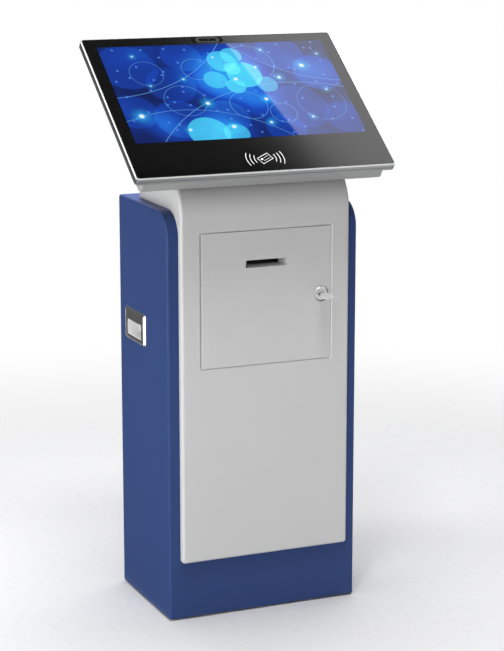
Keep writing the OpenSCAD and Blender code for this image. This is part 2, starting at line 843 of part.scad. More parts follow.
// Outline of the head, drawn in by an inset
module head_outline(inset) translate([0, (head_top + head_low) / 2])
  rounded_rect(2 * (head_x - inset), head_top - head_low - 2 * inset, max(frame_r - inset, 1));

// Aluminium frame: rim and ledge for the glass, rear flange for the back cover, groove round the side
module monitor_frame() color(STEEL) on_screen() difference() {
  translate([0, 0, -frame_t]) linear_extrude(frame_t) head_outline(0);
  translate([0, 0, -glass_drop - glass_t]) linear_extrude(frame_t) head_outline(rim_w);
  translate([0, 0, rear_flange_t - frame_t]) linear_extrude(frame_t) head_outline(rim_w + ledge_w);
  translate([0, 0, -frame_t - 1]) linear_extrude(frame_t) head_outline(rim_w + frame_flange_w);
  translate([0, 0, groove_n]) linear_extrude(groove_w) difference() {
    head_outline(-1);
    head_outline(groove_d);
  }
}

module front_glass() color(DARK) on_screen() translate([0, 0, -glass_drop - glass_t])
  linear_extrude(glass_t) head_outline(rim_w + seat_gap);

// Display module, bonded to the back of the glass
module display_panel() color([0.1, 0.25, 0.6]) on_screen()
  box([-active_w / 2 - panel_side, -active_h / 2 - panel_low, behind_glass - panel_t],
      [active_w / 2 + panel_side, active_h / 2 + panel_high, behind_glass]);

// Circuit board w by d on four stand-offs, from its foot at the origin upwards
module board(w, d) {
  for (i = [-1, 1], j = [-1, 1])
    translate([i * (w / 2 - board_edge), j * (d / 2 - board_edge)]) rod_z(standoff_r, 0, standoff_h);
  box([-w / 2, -d / 2, standoff_h], [w / 2, d / 2, standoff_h + board_t]);
}

// Display controller on its four stand-offs
module display_board() color(GREEN) on_screen() translate([0, mount_v, back_floor + inner_plate_t]) {
  board(control_w, control_h);
  translate([-chip_w / 4, 0, standoff_h + board_t])
    box([-chip_w / 2, -chip_w / 2, 0], [chip_w / 2, chip_w / 2, chip_h]);
  for (x = [-0.42, 0.21, 0.38]) translate([x * control_w, -control_h / 2, standoff_h + board_t])
    box([-plug_w / 2, 0, 0], [plug_w / 2, plug_w, plug_h]);
}

// Thin surround of the camera window, on the face of the glass
module camera_surround() color(DARK) on_screen() translate([camera_u, camera_v, -glass_drop])
  linear_extrude(0.25) difference() {
    rounded_rect(surround_w, surround_h, surround_h / 2 - 0.1);
    rounded_rect(surround_w * 0.6, surround_h / 2, surround_h / 4 - 0.1);
  }

module camera_module() color(DARK) on_screen() translate([camera_u, camera_v, behind_glass]) {
  rod_z(3.8, -5, 0);
  box([-15, -4.7, -6.6], [15, 4.7, -5]);
}

// Contactless reader board, bonded to the back of the glass
module card_reader() color(GREEN) on_screen() translate([reader_u, reader_v, behind_glass])
  box([-reader_w / 2, -reader_h / 2, -1.6], [reader_w / 2, reader_h / 2, 0]);

module speakers() color(DARK) on_screen() for (s = [-1, 1])
  translate([s * (back_x - 50), back_low + 24, back_floor]) {
    box([-speaker_w / 2, -speaker_h / 2, 0], [speaker_w / 2, speaker_h / 2, speaker_t]);
    rod_z(cone_r, speaker_t, speaker_t + 2);
  }

// Folded shelf between the side panels, with its sides turned down
module shelf(z) {
  box([-in_x, shelf_y0, z - shelf_t], [in_x, shelf_y1, z]);
  for (x = [-in_x, in_x - shelf_t]) box([x, shelf_y0, z - shelf_lip], [x + shelf_t, shelf_y1, z]);
}

module printer_shelf() color(STEEL) shelf(tray_z);

module component_shelf() color(STEEL) shelf(shelf_z);

// Printer chassis: floor, two cheeks and a low front wall under the paper exit
module printer_chassis() color(DARK) difference() {
  union() {
    box([-printer_x, printer_y0, tray_z], [printer_x, printer_y1, tray_z + cheek_t]);
    box([-printer_x, printer_y0, tray_z], [printer_x, printer_y0 + cheek_t, path_z - 4]);
    for (x = [-printer_x, printer_x - cheek_t])
      box([x, printer_y0, tray_z], [x + cheek_t, printer_y1, cheek_top]);
  }
  translate([0, lid_hinge_y, lid_hinge_z]) rod_x(lid_pin_r + pin_slack, -printer_x - 1, printer_x + 1);
  translate([0, tie_y, tie_z]) rod_x(lid_pin_r + pin_slack, -printer_x - 1, printer_x + 1);
}

// Thermal print head on its bracket, just under the platen
module print_head() color(STEEL) {
  box([-head_bar_x, platen_y - 5, path_z - 6], [head_bar_x, platen_y + 7, path_z]);
  box([-head_bar_x, platen_y + 4, tray_z + cheek_t], [head_bar_x, platen_y + 7, path_z - 6]);
}

module feed_motor() color(DARK) translate([0, printer_y1 - 25, tray_z + 20]) {
  rod_x(12, cheek_t - printer_x, cheek_t - printer_x + 20);
  rod_x(5, cheek_t - printer_x + 20, cheek_t - printer_x + 22);
}

// Switch block beside the printer, with a stepped bore for the feed button
module feed_switch() color(DARK) difference() {
  box([printer_x, switch_y, button_z - switch_w / 2],
      [printer_x + switch_w, switch_y + 14, button_z + switch_w / 2]);
  translate([button_x, 0, button_z]) {
    rod_y(button_d / 2 + run_gap, switch_y - 1, switch_y + 3);
    rod_y(button_d / 2 + 1.5, switch_y + 3, switch_y + 11);
  }
}

module feed_button() color([0.2, 0.45, 0.7]) translate([button_x, 0, button_z]) {
  rod_y(button_d / 2, switch_y - 2.5, switch_y + 3.1);
  rod_y(button_d / 2 + 1, switch_y + 3.1, switch_y + 5);
}

// Cradle of the paper roll with its spindle
module roll_holder() color(DARK) {
  box([-holder_x - holder_t, roll_y - 26, tray_z], [holder_x + holder_t, roll_y + 26, tray_z + holder_t]);
  for (x = [-holder_x - holder_t, holder_x]) along_x(x, x + holder_t) {
    polygon([[roll_y - 24, tray_z], [roll_y + 24, tray_z], [roll_y + 10, roll_z], [roll_y - 10, roll_z]]);
    translate([roll_y, roll_z]) circle(10);
  }
  translate([0, roll_y, roll_z]) rod_x(spindle_r, -holder_x - holder_t, holder_x + holder_t);
}

module paper_roll() color(PAPER) translate([0, roll_y, roll_z]) difference() {
  rod_x(roll_r, -paper_w / 2, paper_w / 2);
  rod_x(core_bore_d / 2, -paper_w, paper_w);
}

// Printer lid, whose side lugs carry the platen and turn on the hinge rod
module printer_lid() color(DARK) {
  box([-printer_x, printer_y0, cheek_top], [printer_x, lid_hinge_y - 8, cheek_top + lid_t]);
  for (x = [-lid_lug_x, lid_lug_x - lid_lug_t]) along_x(x, x + lid_lug_t) difference() {
    union() {
      translate([platen_y - 6, platen_z - 4])
        square([lid_hinge_y - platen_y + 6, lid_hinge_z - platen_z + 6]);
      translate([platen_y - 6, platen_z - 4])
        square([lid_hinge_y - platen_y - 2, cheek_top - platen_z + 4]);
      translate([lid_hinge_y, lid_hinge_z]) circle(4);
    }
    translate([lid_hinge_y, lid_hinge_z]) circle(lid_pin_r + run_gap);
    translate([platen_y, platen_z]) circle(platen_shaft_r + run_gap);
  }
}

module platen_roller() color(DARK) translate([0, platen_y, platen_z]) {
  rod_x(platen_r, -platen_x, platen_x);
  rod_x(platen_shaft_r, 0.2 - lid_lug_x, lid_lug_x - 0.2);
}

// Computer case with side vents, a rear row of sockets and the hole of its button
module pc_case() color(DARK) difference() {
  translate([0, pc_y, shelf_z]) difference() {
    box([-pc_w / 2, -pc_d / 2, 0], [pc_w / 2, pc_d / 2, pc_h]);
    box([case_t - pc_w / 2, case_t - pc_d / 2, case_t],
        [pc_w / 2 - case_t, pc_d / 2 - case_t, pc_h - case_t]);
    for (y = [-60:12:60]) box([-pc_w, y - 1.75, 12], [pc_w, y + 1.75, pc_h - 10]);
    for (i = [-2:2]) translate([main_x + i * port_pitch, pc_d / 2])
      box([-port_w / 2, -3, 12], [port_w / 2, 1, 15.5]);
  }
  translate([pc_button_x, 0, pc_button_z]) rod_y(pc_button_d / 2 + run_gap, pc_back - 5, pc_back + 1);
}

module pc_mainboard() color(GREEN) translate([main_x, pc_y, shelf_z + case_t]) {
  board(main_w, main_d);
  translate([0, 0, standoff_h + board_t]) {
    box([-cooler_w / 2, -cooler_w / 2, 0], [cooler_w / 2, cooler_w / 2, cooler_h]);
    for (i = [-2:2]) translate([i * port_pitch, main_d / 2])
      box([-port_w / 2, -port_w, 0], [port_w / 2, 0, port_h]);
  }
}

module pc_button() color(STEEL) translate([pc_button_x, 0, pc_button_z]) {
  rod_y(pc_button_d / 2, pc_back - case_t - 0.1, pc_back + button_travel + 0.5);
  rod_y(pc_button_d / 2 + 1.5, pc_back - case_t - 2, pc_back - case_t - 0.1);
}

// Power supply with its terminal strip
module power_supply() color(STEEL) {
  box([psu_x, psu_y - psu_d / 2, floor_z], [psu_x + psu_w, psu_y + psu_d / 2 - terminal_d, floor_z + psu_h]);
  translate([psu_x + psu_w / 2, psu_y + psu_d / 2, floor_z]) {
    box([-psu_w / 2, -terminal_d, 0], [psu_w / 2, 0, 3]);
    box([6 - psu_w / 2, -terminal_d, 3], [psu_w / 2 - 6, -1, 14]);
  }
}

// Mains inlet: a flanged socket with three pins set back from its mouth
module power_inlet() color(DARK) translate([-inlet_x, hy, inlet_z]) {
  difference() {
    union() {
      box([-inlet_w / 2, -inlet_d, -inlet_h / 2], [inlet_w / 2, 0, inlet_h / 2]);
      box([-inlet_w / 2 - 3, 0, -inlet_h / 2 - 3], [inlet_w / 2 + 3, inlet_flange, inlet_h / 2 + 3]);
    }
    box([inlet_wall - inlet_w / 2, -16, inlet_wall - inlet_h / 2],
        [inlet_w / 2 - inlet_wall, inlet_flange + 1, inlet_h / 2 - inlet_wall]);
  }
  for (p = [[-7, -2], [0, 3], [7, -2]])
    box([p.x - 1, -16.5, p.y - 2], [p.x + 1, inlet_flange - inlet_pin_back, p.y + 2]);
}

// Body of the mains switch, open at the back of the cabinet
module power_switch() color(DARK) translate([rocker_x, hy, inlet_z]) difference() {
  union() {
    box([-switch_body_w / 2, -switch_d, -switch_body_h / 2], [switch_body_w / 2, 0, switch_body_h / 2]);
    box([-switch_body_w / 2 - 2, 0, -switch_body_h / 2 - 2],
        [switch_body_w / 2 + 2, inlet_flange, switch_body_h / 2 + 2]);
  }
  box([-rocker_w / 2 - 0.3, -12, -rocker_r - 0.5], [rocker_w / 2 + 0.3, 4, rocker_r + 0.5]);
  translate([0, rocker_y - hy]) rod_x(rocker_axle_r + run_gap, -rocker_w / 2 - 1.5, rocker_w / 2 + 1.5);
}

// Rocker with its two faces meeting in a ridge, drawn in its off position
module power_rocker() color([0.75, 0.1, 0.08]) translate([rocker_x, rocker_y, inlet_z]) {
  rotate([rocker_rest, 0, 0]) along_x(-rocker_w / 2, rocker_w / 2) intersection() {
    circle(rocker_r);
    polygon([[-5, -9], [3, -9], [4.6, 0], [3, 9], [-5, 9]]);
  }
  rod_x(rocker_axle_r, -rocker_w / 2 - 1.3, rocker_w / 2 + 1.3);
}

module network_socket() color(STEEL) translate([network_x, hy, inlet_z]) difference() {
  union() {
    box([-socket_w / 2, -socket_d, -socket_h / 2], [socket_w / 2, 0, socket_h / 2]);
    box([-socket_w / 2 - 2, 0, -socket_h / 2 - 2], [socket_w / 2 + 2, 1.5, socket_h / 2 + 2]);
  }
  box([-5.9, -13, -4], [5.9, 2, 4]);
}

// Fixed halves of the two rear hinges: end knuckles, with the leaf cut back at the middle
module rear_hinge_leaves() color(STEEL) for (z = rear_hinge_zs) translate([rear_hinge_x, 0, z])
  difference() {
    union() {
      for (k = [0, 2 * knuckle_l + 0.2]) {
        translate([0, rear_hinge_y, k]) rod_z(knuckle_r, 0, knuckle_l - 0.2);
        box([-leaf_w, hy, k], [0, hy + leaf_t, k + knuckle_l - 0.2]);
      }
      box([-leaf_w, hy, 0], [-leaf_back, hy + leaf_t, rear_hinge_h]);
    }
    translate([0, rear_hinge_y]) rod_z(hinge_pin_d / 2 + pin_slack, -1, rear_hinge_h + 1);
  }

// Moving halves of the rear hinges, on the outside of the rear door
module rear_door_leaves() color(STEEL) for (z = rear_hinge_zs) translate([rear_hinge_x, 0, z])
  difference() {
    union() {
      translate([0, rear_hinge_y]) rod_z(knuckle_r, knuckle_l + 0.2, 2 * knuckle_l - 0.2);
      box([0, hy, knuckle_l + 0.2], [leaf_w, hy + leaf_t, 2 * knuckle_l - 0.2]);
      box([leaf_back, hy, 0], [leaf_w, hy + leaf_t, rear_hinge_h]);
    }
    translate([0, rear_hinge_y]) rod_z(hinge_pin_d / 2 + run_gap, -1, rear_hinge_h + 1);
  }

// Service door: skin with three returned edges and a rolled edge that turns on the pins
module service_door() color(GREY) difference() {
  union() {
    box([hinge_x, cover_y, door_z], [door_x, cover_y + sheet_t, door_top]);
    box([door_x - sheet_t, cover_y, door_z], [door_x, cover_y + door_return, door_top]);
    for (z = [door_z, door_top - sheet_t])
      box([hinge_x, cover_y, z], [door_x, cover_y + door_return, z + sheet_t]);
    translate([hinge_x, hinge_y]) rod_z(door_roll_r, door_z, door_top);
  }
  translate([hinge_x, hinge_y]) {
    rod_z(hinge_pin_d / 2 + run_gap, door_z - 1, door_z + pin_in + 0.5);
    rod_z(hinge_pin_d / 2 + run_gap, door_top - pin_in - 0.5, door_top + 1);
  }
  box([-slot_w / 2, cover_y - 1, slot_z - slot_h / 2],
      [slot_w / 2, cover_y + sheet_t + 1, slot_z + slot_h / 2]);
  translate([lock_x, 0, lock_z]) rod_y(barrel_d / 2 + seat_gap, cover_y - 1, cover_y + sheet_t + 1);
}

// Paper funnel behind the slot, narrowing from the mouth to the throat
module slot_funnel() color(DARK) difference() {
  box([-slot_w / 2 - funnel_wall, cover_y + sheet_t, slot_z - slot_h / 2 - funnel_wall],
      [slot_w / 2 + funnel_wall, cover_y + slot_depth, slot_z + slot_h / 2 + funnel_wall]);
  intersection() {
    translate([0, cover_y, slot_z - slot_h]) linear_extrude(2 * slot_h)
      funnel_outline(slot_w / 2, throat_w / 2);
    translate([-slot_w, cover_y, slot_z]) rotate([0, 90, 0]) linear_extrude(2 * slot_w)
      funnel_outline(slot_h / 2, throat_h / 2);
  }
}

// Half-widths a at the mouth and b at the throat, running on a little past both ends
module funnel_outline(a, b) {
  polygon([
    [-a, sheet_t - 1], [a, sheet_t - 1], [a, sheet_t], [b, slot_depth - 1], [b, slot_depth + 1],
    [-b, slot_depth + 1], [-b, slot_depth - 1], [-a, sheet_t]
  ]);
}

// A lock's fixed housing: bevelled face, barrel and nut, with y going into the cabinet
module housing(cam_d) difference() {
  union() {
    translate([0, -lock_face_t, 0]) rotate([-90, 0, 0])
      cylinder(r1 = lock_face_d / 2 - 1.5, r2 = lock_face_d / 2, h = 1.5);
    rod_y(lock_face_d / 2, 1.5 - lock_face_t, 0);
    rod_y(barrel_d / 2, 0, cam_d - cam_gap);
    translate([0, sheet_t, 0]) rotate([-90, 0, 0]) cylinder(r = barrel_d * 0.68, h = nut_t, $fn = 6);
  }
  rod_y(plug_d / 2 + run_gap, -lock_face_t - 1, cam_d + 1);
}

// A lock's turning plug: keyway in front, square tail through the cam and a nut behind it
module plug(cam_d) difference() {
  union() {
    rod_y(plug_d / 2, 0.3 - lock_face_t, cam_d);
    box([-tail_w / 2, cam_d, -tail_w / 2], [tail_w / 2, cam_d + cam_t, tail_w / 2]);
    translate([0, cam_d + cam_t, 0]) rotate([-90, 0, 0]) cylinder(r = 7, h = 3, $fn = 6);
  }
  rotate([0, -key_roll, 0])
    box([-key_blade_w / 2 - keyway_slack, -lock_face_t, -key_t / 2 - keyway_slack],
        [key_blade_w / 2 + keyway_slack, key_blade_l - lock_face_t + 0.6, key_t / 2 + keyway_slack]);
}

module cam(cam_d) along_y(cam_d, cam_d + cam_t) difference() {
  union() {
    circle(cam_w / 2);
    translate([-cam_w / 2, 0]) square([cam_w, cam_l]);
  }
  square(tail_w + 2 * pin_slack, center = true);
}

module at_service_lock() translate([lock_x, cover_y, lock_z]) children();

module at_rear_lock() translate([rear_lock_x, hy, rear_lock_z]) mirror([0, 1, 0]) children();

module lock_housing() color(STEEL) at_service_lock() housing(service_cam_d);

module lock_plug() color(BRASS) at_service_lock() plug(service_cam_d);

module lock_cam() color(STEEL) at_service_lock() cam(service_cam_d);

module rear_lock_housing() color(STEEL) at_rear_lock() housing(rear_cam_d);

module rear_lock_plug() color(BRASS) at_rear_lock() plug(rear_cam_d);

module rear_lock_cam() color(STEEL) at_rear_lock() cam(rear_cam_d);

// Flat key: blade in the keyway, neck, and a bow with clipped corners and a ring hole
module key() color(STEEL) at_service_lock() rotate([0, -key_roll, 0])
  translate([0, -lock_face_t, -key_t / 2]) linear_extrude(key_t) {
    translate([-key_blade_w / 2, -key_neck_l - 1]) square([key_blade_w, key_neck_l + key_blade_l + 1]);
    translate([0, -key_neck_l - key_bow_l / 2]) difference() {
      polygon([
        [-key_bow_w / 2, -key_bow_l * 0.4], [-key_bow_w * 0.35, -key_bow_l / 2],
        [key_bow_w * 0.35, -key_bow_l / 2], [key_bow_w / 2, -key_bow_l * 0.4],
        [key_bow_w / 2, key_bow_l * 0.35], [key_bow_w / 4, key_bow_l / 2],
        [-key_bow_w / 4, key_bow_l / 2], [-key_bow_w / 2, key_bow_l * 0.35]
      ]);
      translate([0, -key_bow_l / 4]) circle(2.5);
    }
  }

// Rear door: skin with four returned edges, low air inlets and an outlet grille for the fan
module rear_door() color(BLUE) {
  x = rear_door_x;
  difference() {
    box([-x, hy - rear_return, rear_door_z0], [x, hy, rear_door_z1]);
    box([sheet_t - x, 0, rear_door_z0 + sheet_t], [x - sheet_t, in_y, rear_door_z1 - sheet_t]);
    for (c = vent_columns, i = [0:vent_rows - 1])
      box([c - vent_w / 2, 0, vent_low_z + i * vent_pitch],
          [c + vent_w / 2, hy + 1, vent_low_z + i * vent_pitch + vent_h]);
    for (i = [-4:4])
      box([-vent_w / 2, 0, fan_z + (i * vent_pitch) - vent_h / 2],
          [vent_w / 2, hy + 1, fan_z + (i * vent_pitch) + vent_h / 2]);
    translate([rear_lock_x, 0, rear_lock_z]) rod_y(barrel_d / 2 + seat_gap, in_y - 1, hy + 1);
  }
}

// Fan frame with its four arms, hub plate and shaft
module fan_frame() color(DARK) translate([0, 0, fan_z]) {
  along_y(fan_y0, fan_y1) difference() {
    rounded_rect(fan_w, fan_w, 4);
    circle(fan_bore_r);
  }
  rod_y(fan_hub_r, fan_y0, fan_y0 + fan_back_t);
  for (a = [45:90:315]) rotate([0, a, 0])
    box([fan_hub_r - 2, fan_y0, -2], [fan_bore_r + 1, fan_y0 + fan_back_t, 2]);
  rod_y(fan_shaft_r, fan_y0 + 1, fan_y1 - 4);
}

module fan_rotor() color(DARK) translate([0, 0, fan_z]) difference() {
  union() {
    rod_y(fan_hub_r, fan_y0 + fan_back_t + 0.5, fan_y1 - 2);
    for (i = [0:fan_blades - 1]) rotate([0, i * 360 / fan_blades, 0])
      translate([0, (fan_y0 + fan_y1) / 2 + 0.5, 0]) rotate([35, 0, 0])
        box([fan_hub_r - 3, -1, -11], [fan_bore_r - 3.5, 1, 11]);
  }
  rod_y(fan_shaft_r + run_gap, fan_y0, fan_y1 - 3);
}

base_plate();
cable_grommet();
left_side_panel();
right_side_panel();
front_panel();
top_panel();
rear_sill();
front_cover();
neck_cover();
neck_rear_cover();
door_jamb();
hinge_pins();
handle_frames();
handle_cups();
neck_gussets();
mount_plate();
monitor_bolts();
monitor_inner_plate();
monitor_back_cover();
monitor_frame();
front_glass();
display_panel();
display_board();
camera_surround();
camera_module();
card_reader();
speakers();
printer_shelf();
printer_chassis();
print_head();
feed_motor();
feed_switch();
roll_holder();
component_shelf();
pc_case();
pc_mainboard();
power_supply();
power_inlet();
power_switch();
network_socket();
rear_hinge_leaves();
service_door();
slot_funnel();
lock_housing();
lock_plug();
lock_cam();
key();
rear_door();
rear_door_leaves();
fan_frame();
rear_lock_housing();
rear_lock_plug();
rear_lock_cam();
fan_rotor();
printer_lid();
platen_roller();
paper_roll();
feed_button();
pc_button();
power_rocker();
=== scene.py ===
"""Visitor check-in kiosk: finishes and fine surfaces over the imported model, with its studio stage."""
import math

import bmesh
import bpy
import numpy as np
from bpy.props import FloatProperty, FloatVectorProperty, PointerProperty
from bpy.types import Operator, Panel, PropertyGroup
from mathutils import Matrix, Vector


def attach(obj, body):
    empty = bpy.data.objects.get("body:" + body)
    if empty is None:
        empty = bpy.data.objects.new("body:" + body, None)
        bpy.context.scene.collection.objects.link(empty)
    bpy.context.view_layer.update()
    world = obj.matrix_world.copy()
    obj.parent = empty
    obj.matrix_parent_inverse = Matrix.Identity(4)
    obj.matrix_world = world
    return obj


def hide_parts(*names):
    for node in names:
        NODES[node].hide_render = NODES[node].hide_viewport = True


bl_info = {
    "name": "Check-in kiosk",
    "version": (1, 0, 0),
    "blender": (4, 5, 0),
    "location": "View3D > Sidebar > Kiosk",
    "description": "Builds the finishes and fine surfaces of a free-standing visitor check-in kiosk",
    "category": "Object",
}

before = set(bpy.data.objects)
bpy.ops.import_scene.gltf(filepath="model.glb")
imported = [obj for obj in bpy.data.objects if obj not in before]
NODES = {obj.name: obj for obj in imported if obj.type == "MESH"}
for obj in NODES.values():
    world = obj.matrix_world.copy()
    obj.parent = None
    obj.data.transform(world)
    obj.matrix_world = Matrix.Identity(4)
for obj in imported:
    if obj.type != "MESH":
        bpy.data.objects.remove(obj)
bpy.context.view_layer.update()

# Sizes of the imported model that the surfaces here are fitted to, in millimetres
# Cover: half width, front, lower edge, rounding of its edges, and its sheet
COVER_X, COVER_Y, COVER_Z, COVER_R = 174.3, -143.9, 117.0, 6.0
SHEET = 2.0
# Cabinet: half width, half depth, height, and the bend at the top of its front
CAB_X, CAB_Y, CAB_H, CAB_R = 196.7, 130.0, 799.0, 50.0
BEND_Z = CAB_H - CAB_R
# Screen: slope and middle
TILT_COS, TILT_SIN = 0.8, 0.6
SCREEN_Y, SCREEN_Z = 22.9, 1006.6
# Neck: where its bend starts, the bend's radius, the rear, and the slope's turn and length
COVER_BEND_Z, NECK_R, NECK_BACK = 790.125, 80.0, 75.0
SLOPE_TURN = math.atan2(TILT_COS, TILT_SIN)
SLOPE_L = (NECK_BACK - COVER_Y - NECK_R * (1 - TILT_SIN)) / TILT_COS
# Monitor: half width, lower and upper edge, frame, glass, picture with a line of painted shade round it,
# camera, and card sign with half the width and height of its black field
HEAD_U, HEAD_LOW, HEAD_TOP = 265.7, -227.45, 159.85
RIM, FRAME_T, FRAME_R = 2.6, 15.2, 7.0
GLASS_GAP, GLASS_R, GLASS_BACK, GLASS_FACE = 0.8, 4.6, -4.3, -0.3
PICTURE_W, PICTURE_H, PICTURE_SHADE_EDGE = 476.6, 268.1, 1.6
CAMERA_U, CAMERA_V = -2.5, 146.35
SIGN_U, SIGN_V, SIGN_FIELD = 3.0, -191.5, (42, 33)
# Camera's window, trim and the trim's opening: width, height, corner
CAMERA_PANE, CAMERA_TRIM, CAMERA_SLIT = (68, 15.6, 7.6), (51, 15, 7.2), (37, 7.6, 2.4)
# Service opening: half width, lower and upper edge, corner, and the gap round the sheet's own edge
DOOR_X, DOOR_Z0, DOOR_Z1, DOOR_R, DOOR_GAP = 137.0, 496.1, 760.1, 5.0, 0.3
# Lock: middle, radius, height, length behind the door, and the roll of its key
LOCK_X, LOCK_Z, LOCK_R, LOCK_T, LOCK_TAIL = 113.7, 626.5, 14.0, 3.5, 15.9
KEY_ROLL = math.radians(15)
# Side handle: middle, length, height, corner; its cup: length, mouth and top
PULL_Y, PULL_Z, PULL_L, PULL_H, PULL_R = 42.0, 551.0, 110.0, 64.0, 5.0
CUP_L, CUP_Z0, CUP_Z1, CUP_TOP = 74.0, 530.0, 560.0, 574.0
# Paper roll: its axis
ROLL_Y, ROLL_Z = -11.9, 683.2

# Points closer than this are taken as one
MERGE = 1e-6
WHITE = (1.0, 1.0, 1.0, 1.0)


# Colours

def linear(code):
    """Linear colour of a hexadecimal screen colour, by the usual gamma curve."""
    parts = np.array([int(code[i:i + 2], 16) for i in (1, 3, 5)]) / 255.0
    low = parts / 12.92
    high = ((parts + 0.055) / 1.055) ** 2.4
    return tuple(float(c) for c in np.where(parts <= 0.04045, low, high)) + (1.0,)


def shade(colour, factor):
    """A colour made lighter or darker by a factor, with its alpha kept."""
    return tuple(min(1.0, c * factor) for c in colour[:3]) + (1.0,)


def chosen(key):
    """A colour of the sidebar, with its alpha."""
    return tuple(getattr(bpy.context.scene.kiosk_colours, key)) + (1.0,)


# Shader nodes

class Recipe:
    """A material or the world, with short calls that add its nodes and link them."""

    def __init__(self, name, kind="Material"):
        self.block = (bpy.data.worlds if kind == "World" else bpy.data.materials).new(name)
        self.block.use_nodes = True
        self.tree = self.block.node_tree
        self.tree.nodes.clear()
        self.output = self.add("ShaderNodeOutput" + kind)

    def add(self, kind, **settings):
        node = self.tree.nodes.new(kind)
        for key, value in settings.items():
            setattr(node, key, value)
        return node

    def plug(self, socket, value):
        """Links a socket, or sets a plain value."""
        if isinstance(value, bpy.types.NodeSocket):
            self.tree.links.new(value, socket)
        elif value is not None:
            socket.default_value = value

    def step(self, kind, *inputs, **settings):
        """First output of a new node whose sockets take these inputs in order."""
        node = self.add(kind, **settings)
        for socket, value in zip(node.inputs, inputs):
            self.plug(socket, value)
        return node.outputs[0]

    def fill(self, node, **inputs):
        """Gives a node these inputs by name, with _ for a space."""
        for key, value in inputs.items():
            self.plug(node.inputs[key.replace("_", " ")], value)
        return node

    def math(self, kind, a, b=None):
        return self.step("ShaderNodeMath", a, b, operation=kind)

    def vector(self, kind, a, b=None):
        node = self.add("ShaderNodeVectorMath", operation=kind)
        self.plug(node.inputs[0], a)
        self.plug(node.inputs[1], b)
        return node.outputs["Vector" if kind == "SUBTRACT" else "Value"]

    def place(self, source, scale=(1, 1, 1), rotation=(0, 0, 0), shift=(0, 0, 0), kind="POINT"):
        return self.step("ShaderNodeMapping", source, shift, rotation, scale, vector_type=kind)

    def object_space(self):
        return self.add("ShaderNodeTexCoord").outputs["Object"]

    def noise(self, source, scale, detail=2.0, roughness=0.5):
        node = self.add("ShaderNodeTexNoise")
        return self.fill(node, Vector=source, Scale=scale, Detail=detail, Roughness=roughness).outputs[0]

    def cells(self, source, scale, feature="F1", randomness=1.0, dimensions="3D"):
        """Distance to the points or edges of scattered cells."""
        node = self.add("ShaderNodeTexVoronoi", feature=feature, voronoi_dimensions=dimensions)
        return self.fill(node, Vector=source, Scale=scale, Randomness=randomness).outputs["Distance"]

    def parts(self, source):
        """The three numbers of a vector."""
        node = self.add("ShaderNodeSeparateXYZ")
        self.plug(node.inputs[0], source)
        return node.outputs

    def ramp(self, value, low, high, to_low=0.0, to_high=1.0, smooth=False):
        """Maps a value from one range to another, with its ends clamped."""
        return self.step("ShaderNodeMapRange", value, low, high, to_low, to_high,
                         interpolation_type="SMOOTHSTEP" if smooth else "LINEAR")

    def off(self, value, middle):
        """How far a value is from a middle."""
        return self.math("ABSOLUTE", self.math("SUBTRACT", value, middle))

    def mix(self, factor, a, b, blend="MIX"):
        node = self.add("ShaderNodeMix", data_type="RGBA", blend_type=blend)
        for i, value in ((0, factor), (6, a), (7, b)):
            self.plug(node.inputs[i], value)
        return node.outputs[2]

    def tones(self, value, low, high, colour, less, more=None):
        """A colour that climbs with the value, from less of itself to more."""
        more = less if more is None else more
        return self.mix(self.ramp(value, low, high), shade(colour, 1 - less), shade(colour, 1 + more))

    def bump(self, height, depth, strength=1.0):
        """Relief of a height from 0 to 1 over a depth in metres."""
        node = self.add("ShaderNodeBump")
        return self.fill(node, Strength=strength, Distance=depth, Height=height).outputs[0]

    def light(self, strength, colour=WHITE, kind="Emission"):
        """Shader that gives off light, as an emission or as the world's background."""
        return self.step("ShaderNode" + kind, colour, strength)

    def blend(self, factor, a, b):
        """Shader a where the factor is 0, and b where it is 1."""
        return self.step("ShaderNodeMixShader", factor, a, b)

    def seen(self):
        """1 on the rays that show a thing or its mirror image, and 0 on those that light others."""
        path = self.add("ShaderNodeLightPath").outputs
        return self.math("MAXIMUM", path["Is Camera Ray"],
                         self.math("MAXIMUM", path["Is Glossy Ray"], path["Is Transmission Ray"]))

    def end(self, shader):
        """Ends the material or the world in this shader."""
        self.plug(self.output.inputs["Surface"], shader)
        return self.block

    def surface(self, **inputs):
        """Ends the material in one Principled shader with these inputs."""
        return self.end(self.fill(self.add("ShaderNodeBsdfPrincipled"), **inputs).outputs[0])


def powder_coat(name, colour, roughness, grain=1100, depth=1.5e-5, speckle=0.05, mottle=0.03, gloss=0.5):
    """Baked powder paint: a fine orange-peel relief, sandy flecks of the colour, and slow tone changes."""
    r = Recipe(name)
    at = r.object_space()
    peel = r.noise(at, grain, 3.0, 0.6)
    sandy = r.tones(r.noise(at, grain * 1.9, 1.0), 0.3, 0.7, colour, speckle)
    body = r.tones(r.noise(at, 5.0), 0.3, 0.7, colour, mottle)
    rough = r.ramp(peel, 0.2, 0.8, roughness - 0.05, roughness + 0.06)
    return r.surface(Base_Color=r.mix(0.5, sandy, body), Roughness=rough, Specular_IOR_Level=gloss,
                     Normal=r.bump(peel, depth))


def worked_metal(name, colour, roughness, stretch=(1, 1, 1), grain=900, depth=1e-6, spread=0.08,
                 smudge=0.02, metallic=1.0):
    """Metal with the lines of its rolling or brushing: noise drawn out along one axis."""
    r = Recipe(name)
    at = r.object_space()
    lines = r.noise(r.place(at, stretch), grain, 3.0, 0.65)
    slow = r.noise(at, 9.0, 3.0, 0.55)
    tone = r.tones(lines, 0.25, 0.75, colour, smudge)
    tone = r.mix(r.ramp(slow, 0.35, 0.7, 0.0, 0.35), tone, shade(colour, 1 - 2 * smudge))
    rough = r.ramp(lines, 0.2, 0.8, roughness - spread, roughness + spread)
    return r.surface(Base_Color=tone, Metallic=metallic, Roughness=rough, Normal=r.bump(lines, depth))


